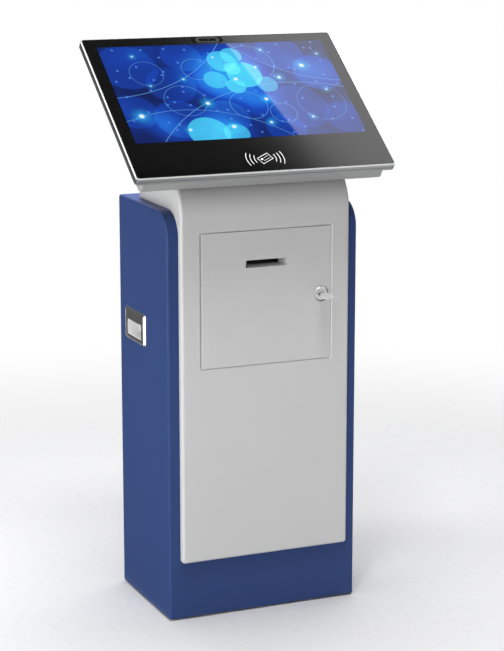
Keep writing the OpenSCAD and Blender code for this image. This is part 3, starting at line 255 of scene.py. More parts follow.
def moulded_plastic(name, colour, roughness, grain=1400, depth=1.2e-5, gloss=0.5):
    """Injection-moulded plastic: the spark-eroded texture of its tool, and a slight bloom."""
    r = Recipe(name)
    at = r.object_space()
    pits = r.cells(at, grain, "SMOOTH_F1")
    bloom = r.noise(at, 14.0)
    rough = r.ramp(bloom, 0.25, 0.8, roughness - 0.04, roughness + 0.05)
    return r.surface(Base_Color=r.tones(bloom, 0.3, 0.75, colour, 0.06), Roughness=rough,
                     Specular_IOR_Level=gloss, Normal=r.bump(pits, depth, 0.6))


def circuit_laminate(name, colour):
    """Circuit board: copper runs seen through green resist, from stretched square cells."""
    r = Recipe(name)
    at = r.object_space()
    runs = r.cells(r.place(at, (1, 1, 0.2), (0, 0, 0.785)), 260, "DISTANCE_TO_EDGE", 0.35)
    track = r.ramp(runs, 0.05, 0.09, 1.0, 0.0)
    tone = r.mix(track, colour, shade(colour, 1.9))
    tone = r.mix(r.ramp(r.noise(at, 900), 0.6, 0.75, 0.0, 0.3), tone, linear("#b9c2b0"))
    return r.surface(Base_Color=tone, Roughness=0.42, Normal=r.bump(track, 3e-5))


def wound_paper(name, colour):
    """Thermal paper wound on its core: fine turns on the ends, and a smooth outer layer."""
    r = Recipe(name)
    at = r.object_space()
    radius = r.vector("LENGTH", r.place(at, (0, 1, 1), shift=(0, -ROLL_Y / 1000, -ROLL_Z / 1000)))
    turns = r.math("SINE", r.math("MULTIPLY", radius, 9000.0))
    tone = r.tones(turns, -1.0, 1.0, colour, 0.14, 0.0)
    tone = r.mix(r.ramp(r.noise(at, 1800), 0.35, 0.7, 0.0, 0.25), tone, shade(colour, 0.93))
    return r.surface(Base_Color=tone, Roughness=0.72, Normal=r.bump(turns, 4e-5, 0.5))


def soft_rubber(name, colour):
    """Ground rubber: matt, with a fine tooth."""
    r = Recipe(name)
    tooth = r.noise(r.object_space(), 1600, 4.0, 0.7)
    return r.surface(Base_Color=r.tones(tooth, 0.3, 0.7, colour, 0.2, 0.3), Roughness=0.78,
                     Specular_IOR_Level=0.3, Normal=r.bump(tooth, 3e-5))


# Surfaces

def rounded(w, h, r, k=8, at=(0.0, 0.0)):
    """Outline of a rounded rectangle as a function of its inset: four quarter circles, joined.

    A corner that the inset uses up keeps a least radius, and its middle moves inwards instead.
    """
    least = 0.02

    def outline(inset=0.0):
        turn = np.arange(4)[:, None] * (np.pi / 2) + np.linspace(0, np.pi / 2, k)[None, :]
        cx = np.array([1, -1, -1, 1])[:, None] * (w / 2 - r)
        cy = np.array([1, 1, -1, -1])[:, None] * (h / 2 - r)
        reach = max(r - inset, least)
        shrink = min(r - inset - least, 0.0)
        x = cx + np.sign(cx) * shrink + reach * np.cos(turn) + at[0]
        y = cy + np.sign(cy) * shrink + reach * np.sin(turn) + at[1]
        return np.stack([x.ravel(), y.ravel()], -1)
    return outline


def edge_run(n0, n1, soft, outwards=False):
    """Pairs (inset, height) up a wall from n0 to n1, whose ends turn in by quarter circles."""
    turn = np.linspace(0, np.pi / 2, 4)
    low = np.stack([soft * (1 - np.sin(turn)), n0 + soft * (1 - np.cos(turn))], -1)
    high = np.stack([soft * (1 - np.cos(turn)), n1 - soft * (1 - np.sin(turn))], -1)
    run = np.concatenate([low, high])
    if outwards:
        run = run[::-1] * [-1, 1]
    return run


def profile(*corners, k=3):
    """Pairs along a line of corners (a, b, size), each rounded by a parabola over its size.

    The parabola starts its size before the corner and ends its size after it, and both sides of the
    corner are its tangents. A corner of size 0 stays sharp, as the ends of an open line must.
    """
    c = np.array(corners, float)
    at, size = c[:, None, :2], c[:, None, 2:]
    before = np.roll(at, 1, 0) - at
    after = np.roll(at, -1, 0) - at
    start = at + before * size / np.linalg.norm(before, axis=2, keepdims=True)
    end = at + after * size / np.linalg.norm(after, axis=2, keepdims=True)
    t = np.linspace(0, 1, k + 1)[None, :, None]
    run = ((1 - t) ** 2 * start + 2 * t * (1 - t) * at + t ** 2 * end).reshape(-1, 2)
    step = np.linalg.norm(run - np.roll(run, 1, 0), axis=1)
    return run[step > MERGE]


def rings(outline, run):
    """Stack of outlines, one for each pair (inset, height): points (rings, round, 3)."""
    return np.stack([np.column_stack([outline(i), np.full(len(outline(0)), n)]) for i, n in run])


def quads(rows, cols, round_rows, round_cols):
    """Four-sided faces of a grid of rows by columns, numbered row by row."""
    a, b = np.meshgrid(np.arange(rows if round_rows else rows - 1),
                       np.arange(cols if round_cols else cols - 1), indexing="ij")
    a2, b2 = (a + 1) % rows, (b + 1) % cols
    return np.stack([a * cols + b, a * cols + b2, a2 * cols + b2, a2 * cols + b], -1).reshape(-1, 4)


def woven(grid, round_rows, round_cols):
    """A grid of points (rows, columns, 3) as a shape (points, faces)."""
    return grid.reshape(-1, 3), quads(*grid.shape[:2], round_rows, round_cols).tolist()


def sheet(grid):
    """An open sheet from a grid."""
    return woven(grid, False, False)


def sleeve(stack):
    """A stack of rings that is open at both ends."""
    return woven(stack, False, True)


def hoop(stack):
    """A stack of rings whose last joins the first, such as a frame round an opening."""
    return woven(stack, True, True)


def solid(stack):
    """A stack of rings closed with a face at both ends."""
    points, faces = sleeve(stack)
    cols = stack.shape[1]
    return points, faces + [list(range(cols)), list(range(len(points) - cols, len(points)))]


def framed(outer, inner, n0, n1, soft):
    """Closed hoop between an outer and an inner outline, with soft edges on all four corners."""
    return hoop(np.concatenate([rings(outer, edge_run(n0, n1, soft)),
                                rings(inner, edge_run(n0, n1, soft, outwards=True))]))


def plate(outline, n0, n1, soft):
    """Closed slab of an outline between two heights, with soft edges."""
    return solid(rings(outline, edge_run(n0, n1, soft)))


def turned(section, k=48, bored=False):
    """Closed solid of revolution about the third axis, from pairs (radius, height); bored joins its ends."""
    turn = np.arange(k) * (2 * np.pi / k)
    stack = np.stack([np.column_stack([r * np.cos(turn), r * np.sin(turn), np.full(k, n)])
                      for r, n in section])
    return hoop(stack) if bored else solid(stack)


def on_screen(points):
    """Screen place (u to the right, v up the glass, n out of it) to the kiosk's own axes, in metres."""
    u, v, n = np.asarray(points, float).T
    return np.column_stack([u, SCREEN_Y + TILT_COS * v - TILT_SIN * n,
                            SCREEN_Z + TILT_SIN * v + TILT_COS * n]) / 1000


def on_front(points):
    """Place on the cover (x, z, proud of it) to the kiosk's own axes, in metres."""
    x, z, n = np.asarray(points, float).T
    return np.column_stack([x, COVER_Y - n, z]) / 1000


def on_side(points, sign):
    """Place on a side wall (y, z, proud of it) to the kiosk's own axes, in metres."""
    y, z, n = np.asarray(points, float).T
    return np.column_stack([sign * (CAB_X + n), y, z]) / 1000


def glass_place(points):
    """Place (u, v) on the glass of points in metres, in decimetres from the display's centre."""
    v = (points[:, 1] * 1000 - SCREEN_Y) * TILT_COS + (points[:, 2] * 1000 - SCREEN_Z) * TILT_SIN
    return np.column_stack([points[:, 0] * 10, v / 100])


def put(place, shape, *where, shift=(0, 0, 0)):
    """A shape (points, faces), shifted and then put in its place on the screen, the front or a side."""
    points, faces = shape
    return place(points + np.array(shift), *where), faces


def new_object(name, data):
    """An object of the scene, at the origin."""
    thing = bpy.data.objects.new(name, data)
    bpy.context.scene.collection.objects.link(thing)
    return thing


def soft_edges(thing, width, segments, angle):
    """Bevels the edges that are sharper than an angle in degrees, width in millimetres."""
    bevel = thing.modifiers.new("soft edges", "BEVEL")
    bevel.width = width / 1000
    bevel.segments = segments
    bevel.limit_method = "ANGLE"
    bevel.angle_limit = math.radians(angle)


def even_shading(thing):
    """Weights the normals by the size of their faces, so that flat sides shade flat."""
    thing.modifiers.new("even shading", "WEIGHTED_NORMAL").keep_sharp = True


def piece(name, kind, parts, stands_for=(), body="cabinet", smooth=40, uv=None, wall=None,
          facing=None):
    """One object of a kind of finish from parts (points in metres, faces), riding on its body.

    The parts are merged and turned outwards, and edges sharper than smooth, in degrees, stay sharp. A
    wall in millimetres makes an open sheet solid on its inner side, and facing is where it looks.
    """
    points = np.concatenate([p for p, _ in parts])
    faces, base = [], 0
    for p, f in parts:
        faces += [[i + base for i in face] for face in f]
        base += len(p)
    mesh = bpy.data.meshes.new(name)
    mesh.from_pydata(points.tolist(), [], faces)
    work = bmesh.new()
    work.from_mesh(mesh)
    bmesh.ops.remove_doubles(work, verts=work.verts, dist=MERGE)
    bmesh.ops.recalc_face_normals(work, faces=work.faces)
    if facing is not None:
        whole = sum((face.normal * face.calc_area() for face in work.faces), Vector((0, 0, 0)))
        if whole.dot(Vector(facing)) < 0:
            bmesh.ops.reverse_faces(work, faces=work.faces)
    work.to_mesh(mesh)
    work.free()
    mesh.shade_smooth()
    mesh.set_sharp_from_angle(angle=math.radians(smooth))
    if uv is not None:
        layer = mesh.uv_layers.new(name="surface")
        corner = np.zeros(len(mesh.loops), np.int32)
        mesh.loops.foreach_get("vertex_index", corner)
        co = np.zeros(len(mesh.vertices) * 3)
        mesh.vertices.foreach_get("co", co)
        layer.data.foreach_set("uv", uv(co.reshape(-1, 3))[corner].ravel().astype(np.float32))
    mesh.materials.append(finish(kind))
    thing = new_object(name, mesh)
    if wall:
        shell = thing.modifiers.new("wall", "SOLIDIFY")
        shell.thickness = wall / 1000
        shell.offset = -1.0
        shell.use_even_offset = True
        soft_edges(thing, 0.4 * wall, 3, smooth)
    even_shading(thing)
    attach(thing, body)
    if stands_for:
        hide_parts(*stands_for)


def dress(kind, soft, *nodes, segments=2):
    """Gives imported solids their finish, and soft edges of this many millimetres unless it is 0.

    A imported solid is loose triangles, which are joined before its edges are softened.
    """
    for node in nodes:
        thing = NODES[node]
        thing.data.materials.clear()
        thing.data.materials.append(finish(kind))
        if soft:
            thing.modifiers.new("join", "WELD").merge_threshold = MERGE
            soft_edges(thing, soft, segments, 32)
            even_shading(thing)


def cover_sheet():
    """Front cover and neck as one sheet: (points in metres, faces) of its outer side.

    Rows climb the path: round the bottom edge, up the front, round the bend, up the slope. Columns
    cross it: over the front, a quarter circle round the edge, then straight back along the side wall
    to the foot that the cabinet's outline gives the row. Up the slope each point is also slid along
    the sheet by three quarters of its depth, so that the last row is plumb. The faces of the service
    opening are left out, its round corners are filled with fans, and a level sheet closes the foot.
    """
    edge = COVER_X - COVER_R
    gap = -CAB_Y - COVER_Y - COVER_R
    front = np.array([0, 45, 90, DOOR_X - DOOR_R, DOOR_X, 152, edge])
    turn = np.radians([18, 36, 54, 72, 90])
    back = np.array([1, 2, 3]) / 3
    n = len(front) + len(turn)
    reach = np.concatenate([front, edge + COVER_R * np.sin(turn), np.full(len(back), COVER_X)])
    depth = np.concatenate([front * 0, COVER_R * (1 - np.cos(turn)), np.full(len(back), COVER_R)])
    wall = np.concatenate([np.zeros(n), back])

    rise = np.array([123, 170, 240, 320, 400, 450, DOOR_Z0, DOOR_Z0 + DOOR_R, 560, 628, 700, BEND_Z,
                     DOOR_Z1 - DOOR_R, DOOR_Z1, 772, 781, COVER_BEND_Z])
    turn_up = np.linspace(0, SLOPE_TURN, 13)[1:]
    along = np.linspace(0, SLOPE_L, 9)[1:]
    none = np.zeros(len(rise))
    path = np.concatenate([
        np.column_stack([none + COVER_Y, rise]),
        np.column_stack([COVER_Y + NECK_R * (1 - np.cos(turn_up)), COVER_BEND_Z + NECK_R * np.sin(turn_up)]),
        np.column_stack([COVER_Y + NECK_R * (1 - TILT_SIN) + TILT_COS * along,
                         COVER_BEND_Z + NECK_R * TILT_COS + TILT_SIN * along])])
    inward = np.concatenate([
        np.column_stack([none + 1, none]), np.column_stack([np.cos(turn_up), -np.sin(turn_up)]),
        np.tile([TILT_SIN, -TILT_COS], (len(along), 1))])
    share = np.concatenate([none, turn_up * 0, along / SLOPE_L])[:, None]
    inward = inward - TILT_SIN / TILT_COS * share * [TILT_COS, TILT_SIN]
    lean_low = 40
    lift = np.clip((rise - BEND_Z) / (COVER_BEND_Z - BEND_Z), 0, 1) * lean_low
    lean = np.radians(np.concatenate([lift, lean_low + (90 - lean_low) * turn_up / SLOPE_TURN]))
    foot = np.concatenate([
        np.column_stack([-CAB_Y + CAB_R * (1 - np.cos(lean)),
                         np.concatenate([np.minimum(rise, BEND_Z), turn_up * 0 + BEND_Z])
                         + CAB_R * np.sin(lean)]),
        np.column_stack([-CAB_Y + CAB_R + (NECK_BACK + CAB_Y - CAB_R) * along / SLOPE_L, along * 0 + CAB_H])])
    side = path[:, None] + inward[:, None] * depth[None, :, None]
    side = side + (foot[:, None] - side) * wall[None, :, None]

    low = np.radians([90, 72, 54, 36, 18])[:, None]
    drawn = COVER_R * (1 - np.cos(low))
    ring = COVER_R - drawn
    under_x = np.concatenate([
        np.tile(front, (5, 1)), edge + ring * np.sin(turn), np.tile(COVER_X - drawn, (1, 3))], 1)
    under_y = np.concatenate([
        COVER_Y + drawn + front * 0, COVER_Y + COVER_R - ring * np.cos(turn),
        COVER_Y + COVER_R + gap * back + drawn * 0], 1)
    under_z = np.tile(COVER_Z + COVER_R * (1 - np.sin(low)), (1, len(reach)))
    half = np.concatenate([
        np.stack([under_x, under_y, under_z], -1),
        np.concatenate([np.tile(reach, (len(side), 1))[..., None], side], -1)])
    grid = np.concatenate([half[:, :0:-1] * [-1, 1, 1], half], 1)

    points, faces = sheet(grid)
    faces = np.array(faces)
    middle = points[faces].mean(1)
    opened = ((np.abs(middle[:, 0]) < DOOR_X) & (middle[:, 1] < COVER_Y + 0.01)
              & (middle[:, 2] > DOOR_Z0) & (middle[:, 2] < DOOR_Z1))
    parts = [(points / 1000, faces[~opened].tolist())]

    level = np.concatenate([-front[:0:-1], front])
    behind = COVER_Y + COVER_R + gap * np.concatenate([[0], back])
    x, y = np.meshgrid(level, behind)
    parts.append(sheet(np.stack([x, y, x * 0 + COVER_Z], -1) / 1000))
    arc = np.linspace(0, np.pi / 2, 7)
    for i in (-1, 1):
        for z, j in ((DOOR_Z0, -1), (DOOR_Z1, 1)):
            ring = np.column_stack([i * (DOOR_X - DOOR_R + DOOR_R * np.cos(arc)), arc * 0 + COVER_Y,
                                    z - j * DOOR_R + j * DOOR_R * np.sin(arc)])
            fan = np.concatenate([[[i * DOOR_X, COVER_Y, z]], ring]) / 1000
            parts.append((fan, [[0, k, k + 1] for k in range(1, 7)]))
    return parts


# The picture's shapes in decimetres on the glass: (u, v, radius, strength)
HALOS = ((0.1, 0.45, 1.3, 1.15), (-0.55, -1.15, 0.85, 0.95), (-1.6, -0.9, 0.6, 0.4),
         (1.75, 0.45, 0.7, 0.25), (0.5, -0.4, 0.7, 0.45))
VEILS = ((-1.95, 0.75, 0.62, 0.3), (-1.2, 0.2, 0.5, 0.24), (-2.15, -0.5, 0.45, 0.26), (-0.75, 1.0, 0.42, 0.3),
         (-1.3, -0.75, 0.52, 0.3), (-0.35, -0.75, 0.46, 0.34), (1.35, 1.0, 0.5, 0.3), (1.95, 0.4, 0.5, 0.4),
         (1.25, -0.55, 0.6, 0.2), (2.1, -0.9, 0.44, 0.2), (0.75, -1.15, 0.4, 0.3))
LIT_DISCS = ((0.05, 0.82, 0.3, 0.6), (0.4, 0.42, 0.36, 0.75), (-0.25, 0.3, 0.24, 0.5),
             (0.3, 0.98, 0.22, 0.6), (0.12, 0.1, 0.2, 0.65), (0.78, 0.12, 0.22, 0.4),
             (-0.85, -1.15, 0.42, 0.6), (-0.3, -1.2, 0.26, 0.5), (0.2, 0.6, 0.17, 0.75))
HOOPS = ((-1.6, 0.55, 0.34, 0.25), (-1.05, -0.25, 0.42, 0.3), (0.62, 0.75, 0.5, 0.4),
         (0.2, -0.45, 0.38, 0.4), (1.75, -0.45, 0.5, 0.25), (-0.55, 0.62, 0.3, 0.35), (0.85, -0.7, 0.27, 0.4))
SWEEPS = ((-2.6, 3.2, 3.3, 0.6), (1.2, -3.6, 3.75, 0.6), (2.6, 2.9, 2.75, 0.5), (-1.2, -3.4, 2.9, 0.5))
GLINTS = ((-2.05, -0.62, 0.2, 1.0), (-1.62, 0.2, 0.09, 0.5), (-1.2, -1.05, 0.13, 0.9),
          (-0.9, 0.35, 0.09, 0.7), (-0.62, -0.35, 0.16, 1.0), (-0.3, -1.02, 0.17, 1.0),
          (-0.1, 0.95, 0.1, 0.8), (0.18, 0.3, 0.16, 1.0), (0.5, -0.95, 0.12, 0.9), (0.7, 0.62, 0.12, 0.8),
          (0.62, -0.3, 0.15, 1.0), (1.1, 0.3, 0.14, 0.9), (1.42, -0.85, 0.11, 0.7), (1.7, 0.62, 0.18, 1.0),
          (1.98, -0.1, 0.1, 0.6), (2.15, 0.95, 0.1, 0.5), (-1.75, 1.05, 0.1, 0.6), (0.98, 1.12, 0.1, 0.7))


def lit_picture(r, at):
    """The picture in (u, v): a deep blue ground that broad halos lighten, soft veils and bright discs
    laid over each other, thin hoops, sweeping thin arcs, small dots in cells, and glowing points."""
    navy, royal, glow = (chosen("picture_" + key) for key in ("dark", "light", "glow"))

    def away(x, y):
        return r.vector("DISTANCE", at, (x, y, 0.0))

    slow = r.noise(r.place(at, shift=(3.1, 1.7, 0)), 0.8, 1.0, 0.4)
    level = r.ramp(slow, 0.35, 0.7, 0.0, 0.35)
    for x, y, size, strength in HALOS:
        level = r.math("ADD", level, r.ramp(away(x, y), size, 0.0, 0.0, strength, smooth=True))
    picture = r.mix(r.ramp(level, 0.05, 0.85), navy, royal)
    picture = r.mix(r.ramp(level, 0.6, 1.4, 0.0, 0.6), picture, glow)
    lit = r.mix(r.ramp(level, 0.2, 1.1), shade(royal, 1.1), glow)
    for x, y, size, strength in VEILS:
        picture = r.mix(r.ramp(away(x, y), size + 0.02, size - 0.02, 0.0, strength), picture, lit)
    for x, y, size, strength in LIT_DISCS:
        inside = r.ramp(away(x, y), size + 0.006, size - 0.006, 0.0, strength)
        picture = r.mix(inside, picture, linear("#4ce0ff"), "SCREEN")
    lines = 0.0
    for rounds, width in ((HOOPS, 0.006), (SWEEPS, 0.005)):
        for x, y, size, strength in rounds:
            line = r.ramp(r.off(away(x, y), size), width * 1.6, width * 0.5, 0.0, strength)
            lines = r.math("MAXIMUM", lines, line)
    picture = r.mix(lines, picture, linear("#7fd0ff"))
    cell = r.cells(r.place(at, shift=(2.2, 9.1, 0)), 2.6, "F1", 1.0, "2D")
    picture = r.mix(r.ramp(cell, 0.085, 0.05, 0.0, 0.55), picture, linear("#5f9cff"))
    for x, y, size, strength in GLINTS:
        near = away(x, y)
        halo = r.math("POWER", r.ramp(near, size * 1.5, 0.0), 2.2)
        picture = r.mix(r.math("MULTIPLY", halo, 0.8 * strength), picture, linear("#35c5ff"))
        picture = r.mix(r.ramp(near, size * 0.36, size * 0.1, 0.0, strength), picture, linear("#f4feff"))
    return picture


def card_sign(r, at):
    """White mask of the card sign: three pairs of arcs either side of a tilted card with chip and lines."""
    middle = r.place(at, shift=(SIGN_U / 100, SIGN_V / 100, 0), kind="TEXTURE")
    x, y, _ = r.parts(middle)
    far = r.vector("LENGTH", middle)
    wide = r.ramp(r.math("DIVIDE", r.math("ABSOLUTE", y), far), 0.46, 0.42)
    sign = 0.0
    for size in (0.22, 0.3, 0.38):
        sign = r.math("MAXIMUM", sign, r.ramp(r.off(far, size), 0.009, 0.005))
    sign = r.math("MULTIPLY", sign, wide)

    turned_card = r.place(middle, rotation=(0, 0, math.radians(28)), kind="TEXTURE")

    def block(x0, y0, w, h):
        """Signed distance to a rectangle's sides, below 0 inside."""
        x, y, _ = r.parts(r.place(turned_card, shift=(x0, y0, 0), kind="TEXTURE"))
        return r.math("MAXIMUM", r.math("SUBTRACT", r.math("ABSOLUTE", x), w),
                      r.math("SUBTRACT", r.math("ABSOLUTE", y), h))

    outline = r.ramp(r.math("ABSOLUTE", block(0, 0, 0.135, 0.085)), 0.008, 0.004)
    chip = r.ramp(block(-0.07, 0.02, 0.026, 0.02), 0.002, -0.002)
    print_a = r.ramp(block(0.02, -0.035, 0.085, 0.005), 0.002, -0.002, 0.0, 0.75)
    print_b = r.ramp(block(0.045, 0.03, 0.055, 0.005), 0.002, -0.002, 0.0, 0.75)
    for mark in (outline, chip, print_a, print_b):
        sign = r.math("MAXIMUM", sign, mark)
    return sign


def patch(r, u, v, middle, half, soft=0.002):
    """Mask of a rectangle on the glass, from its middle and half its width and height in millimetres."""
    sides = [r.ramp(r.off(value, at / 100), reach / 100 + soft, reach / 100 - soft)
             for value, at, reach in zip((u, v), middle, half)]
    return r.math("MULTIPLY", *sides)


def screen_glass(name, border):
    """Front glass: black print with the white card sign under gloss glass, and the lit picture.

    The glass's own UV map holds its place (u, v) in decimetres from the display's centre.
    """
    r = Recipe(name)
    at = r.add("ShaderNodeUVMap", uv_map="surface").outputs[0]
    u, v, _ = r.parts(at)
    picture = np.array([PICTURE_W, PICTURE_H]) / 2
    window = patch(r, u, v, (0, 0), picture)
    picture_and_shade = patch(r, u, v, (0, 0), picture + PICTURE_SHADE_EDGE)
    field = patch(r, u, v, (SIGN_U, SIGN_V), SIGN_FIELD, 0.004)
    shown = r.mix(window, (0, 0, 0, 1), lit_picture(r, at))
    ink = r.mix(r.math("MULTIPLY", field, 0.35), border, (0, 0, 0, 1))
    # A dark blue strip round the picture: painted shade of the display's recess under the glass
    ink = r.mix(picture_and_shade, ink, (0.002, 0.003, 0.008, 1))
    ink = r.mix(card_sign(r, at), ink, linear("#e8e8e8"))
    smears = r.noise(r.object_space(), 14.0, 4.0, 0.6)
    rough = r.math("ADD", r.ramp(smears, 0.3, 0.75, 0.012, 0.022), r.ramp(window, 0.0, 1.0, 0.1, 0.0))
    wave = r.noise(r.object_space(), 6.0, 1.0)
    return r.surface(Base_Color=ink, Roughness=rough, IOR=1.5, Emission_Color=shown,
                     Emission_Strength=1.0, Normal=r.bump(wave, 1e-5, 0.3))


# Finishes: the maker, a screen colour or the name of one in the sidebar, and the maker's own numbers

FINISHES = {
    "blue powder coat": (powder_coat, "cabinet", dict(roughness=0.42, grain=1500, speckle=0.04, gloss=0.2)),
    "grey powder coat": (powder_coat, "cover",
                         dict(roughness=0.36, depth=2.5e-5, speckle=0.07, mottle=0.02, gloss=0.45)),
    # The cover's grey darkened: painted shade for the shadow under the monitor's head
    "shaded grey coat": (powder_coat, "#989898",
                         dict(roughness=0.42, depth=2.5e-5, speckle=0.07, mottle=0.02, gloss=0.3)),
    # Near-white coat: painted highlight for the light caught by the lock side of the opening
    "white edge coat": (powder_coat, "#eaeaea", dict(roughness=0.34, speckle=0.03, mottle=0.01)),
    "cup metal": (powder_coat, "#e6e6e6", dict(roughness=0.42, speckle=0.04, mottle=0.02)),
    "handle metal": (worked_metal, "handle",
                     dict(roughness=0.26, stretch=(1, 1, 14), grain=420, depth=2e-6, smudge=0.04)),
    "zinc plate": (worked_metal, "#b4b9bd",
                   dict(roughness=0.38, stretch=(1, 6, 1), grain=240, depth=6e-6, spread=0.1, smudge=0.08)),
    "bright steel": (worked_metal, "#b8b9ba",
                     dict(roughness=0.3, stretch=(1, 1, 8), grain=600, depth=3e-6, smudge=0.04)),
    "key steel": (worked_metal, "#d2d2d1", dict(roughness=0.45, stretch=(1, 6, 1), grain=700, depth=2e-6,
                                                spread=0.05, smudge=0.03, metallic=0.4)),
    "chrome": (worked_metal, "#b4b5b6", dict(roughness=0.22, grain=300, spread=0.03)),
    "satin nickel": (worked_metal, "#c8c8c8", dict(roughness=0.3, spread=0.04)),
    "cut aluminium": (worked_metal, "#dcdddd", dict(roughness=0.2, depth=5e-7, spread=0.03)),
    "aluminium": (worked_metal, "rim",
                  dict(roughness=0.34, stretch=(1, 4, 4), grain=1200, depth=4e-7, spread=0.04)),
    "matt black print": (moulded_plastic, "#060606", dict(roughness=0.7, gloss=0.05)),
    "dark trim": (moulded_plastic, "#242425", dict(roughness=0.45, grain=2200, depth=4e-6, gloss=0.2)),
    "lens glass": (moulded_plastic, "#07080c", dict(roughness=0.12, grain=300, depth=1e-6, gloss=0.15)),
    "display glass": (moulded_plastic, "#10213f", dict(roughness=0.2, grain=300, depth=1e-6)),
    "black plastic": (moulded_plastic, "#232425", dict(roughness=0.5)),
    "grey plastic": (moulded_plastic, "#b0b0b0", dict(roughness=0.5)),
    "blue plastic": (moulded_plastic, "#3069b4", dict(roughness=0.32)),
    "red plastic": (moulded_plastic, "#c02a20", dict(roughness=0.3)),
    "circuit laminate": (circuit_laminate, "#14552c", {}),
    "thermal paper": (wound_paper, "#f4f2ea", {}),
    "rubber": (soft_rubber, "#1c1c1d", {}),
    "screen glass": (screen_glass, "border", {}),
}
MADE = {}


def finish(name):
    """The kiosk's finish of this name, made on its first use."""
    if name not in MADE:
        maker, colour, numbers = FINISHES[name]
        tone = linear(colour) if colour.startswith("#") else chosen(colour)
        MADE[name] = maker(name.replace(" ", "_"), tone, **numbers)
    return MADE[name]


# Values in the sidebar

COLOUR = {"subtype": "COLOR", "size": 3, "min": 0, "max": 1}


class KioskColours(PropertyGroup):
    """Colours of the kiosk's finishes."""
    cabinet: FloatVectorProperty(
        name="Cabinet blue", description="Powder coat of the cabinet",
        default=linear("#2b4072")[:3], **COLOUR)
    cover: FloatVectorProperty(
        name="Cover grey", description="Powder coat of the cover, neck and door",
        default=linear("#c4c4c4")[:3], **COLOUR)
    handle: FloatVectorProperty(
        name="Handle grey", description="Metal of the side handles' frames",
        default=linear("#cbcbc6")[:3], **COLOUR)
    rim: FloatVectorProperty(
        name="Monitor rim", description="Anodised aluminium round the glass",
        default=linear("#9a9b9c")[:3], **COLOUR)
    border: FloatVectorProperty(
        name="Glass border", description="Black print under the glass",
        default=linear("#0b0b0b")[:3], **COLOUR)
    picture_dark: FloatVectorProperty(
        name="Picture, dark", description="Deepest blue of the picture",
        default=linear("#0f1f5c")[:3], **COLOUR)
    picture_light: FloatVectorProperty(
        name="Picture, light", description="Lighter blue of the picture",
        default=linear("#1a52d6")[:3], **COLOUR)
    picture_glow: FloatVectorProperty(
        name="Picture, glow", description="Cyan of the picture's lit discs",
        default=linear("#3cc0ff")[:3], **COLOUR)


class KioskStage(PropertyGroup):
    """Light and camera of the stage."""
    camera_turn: FloatProperty(
        name="Camera turn", description="Direction of the camera round the kiosk, 0 from the front",
        subtype="ANGLE", default=math.radians(-23.34))
    camera_rise: FloatProperty(
        name="Camera rise", description="Height of the camera above the kiosk's middle as an angle",
        subtype="ANGLE", default=math.radians(12.30))
    camera_reach: FloatProperty(
        name="Camera distance", description="Distance from the camera to its target",
        unit="LENGTH", default=4.0487, min=1.0)
    lens: FloatProperty(
        name="Lens", description="Focal length for a 36 mm sensor", default=113.06, min=20.0)
    ambient: FloatProperty(
        name="Ambient light", description="Even light from all round", default=0.08, min=0.0)


# Operators

class KIOSK_OT_cabinet(Operator):
    """Blue folded-steel cabinet with its base, sill and top"""
    bl_idname = "kiosk.cabinet"
    bl_label = "Cabinet"

    def execute(self, context):
        dress("blue powder coat", 0.6, "left_side_panel", "right_side_panel")
        dress("blue powder coat", 0.3, "front_panel", "top_panel", "rear_sill")
        dress("zinc plate", 0.5, "base_plate")
        dress("rubber", 0.3, "cable_grommet")
        return {"FINISHED"}


class KIOSK_OT_cover(Operator):
    """Light grey front cover and neck with the service opening"""
    bl_idname = "kiosk.cover"
    bl_label = "Front cover and neck"

    def execute(self, context):
        piece("cover_and_neck", "grey powder coat", cover_sheet(),
              ["front_cover", "neck_cover"], wall=SHEET, facing=(0, -1, 0))
        opening = rounded(2 * (DOOR_X + DOOR_GAP), DOOR_Z1 - DOOR_Z0 + 2 * DOOR_GAP, DOOR_R + DOOR_GAP, 8,
                          (0.0, (DOOR_Z0 + DOOR_Z1) / 2))
        turned_in = ((-0.8, 0.02), (-0.1, 0.02), (0.1, -0.04), (1.9, -1.42), (2.0, -1.6), (2.0, -2.2))
        piece("opening_edge", "grey powder coat",
              [put(on_front, sleeve(rings(opening, turned_in)))], wall=0.8, facing=(0, -1, 0))
        strike = profile((1.1, -2, 0.05), (1.1, -1.1, 0.2), (0.3, 0.25, 0.15), (-0.45, 0.25, 0.15),
                         (-0.95, 0.03, 0.1), (-0.95, -0.3, 0.1), (0.1, -0.5, 0.1), (0.6, -2, 0.05))
        # The outline's right side, from within its lower corner to within its upper one
        right = rings(opening, strike)[:, np.r_[26:32, 0:5]]
        # The strike edge is painted near white: a painted highlight of the light it catches from the left
        piece("strike_edge", "white edge coat", [put(on_front, solid(right.swapaxes(0, 1)))])
        dress("grey powder coat", 0.4, "neck_rear_cover", "door_jamb")
        # The back cover under the head takes the darker grey, painted shade of the head's shadow
        dress("shaded grey coat", 0.4, "monitor_back_cover")
        dress("zinc plate", 0.3, "neck_gussets", "mount_plate", "monitor_inner_plate")
        dress("bright steel", 0.3, "monitor_bolts")
        dress("bright steel", 0.2, "hinge_pins")
        return {"FINISHED"}


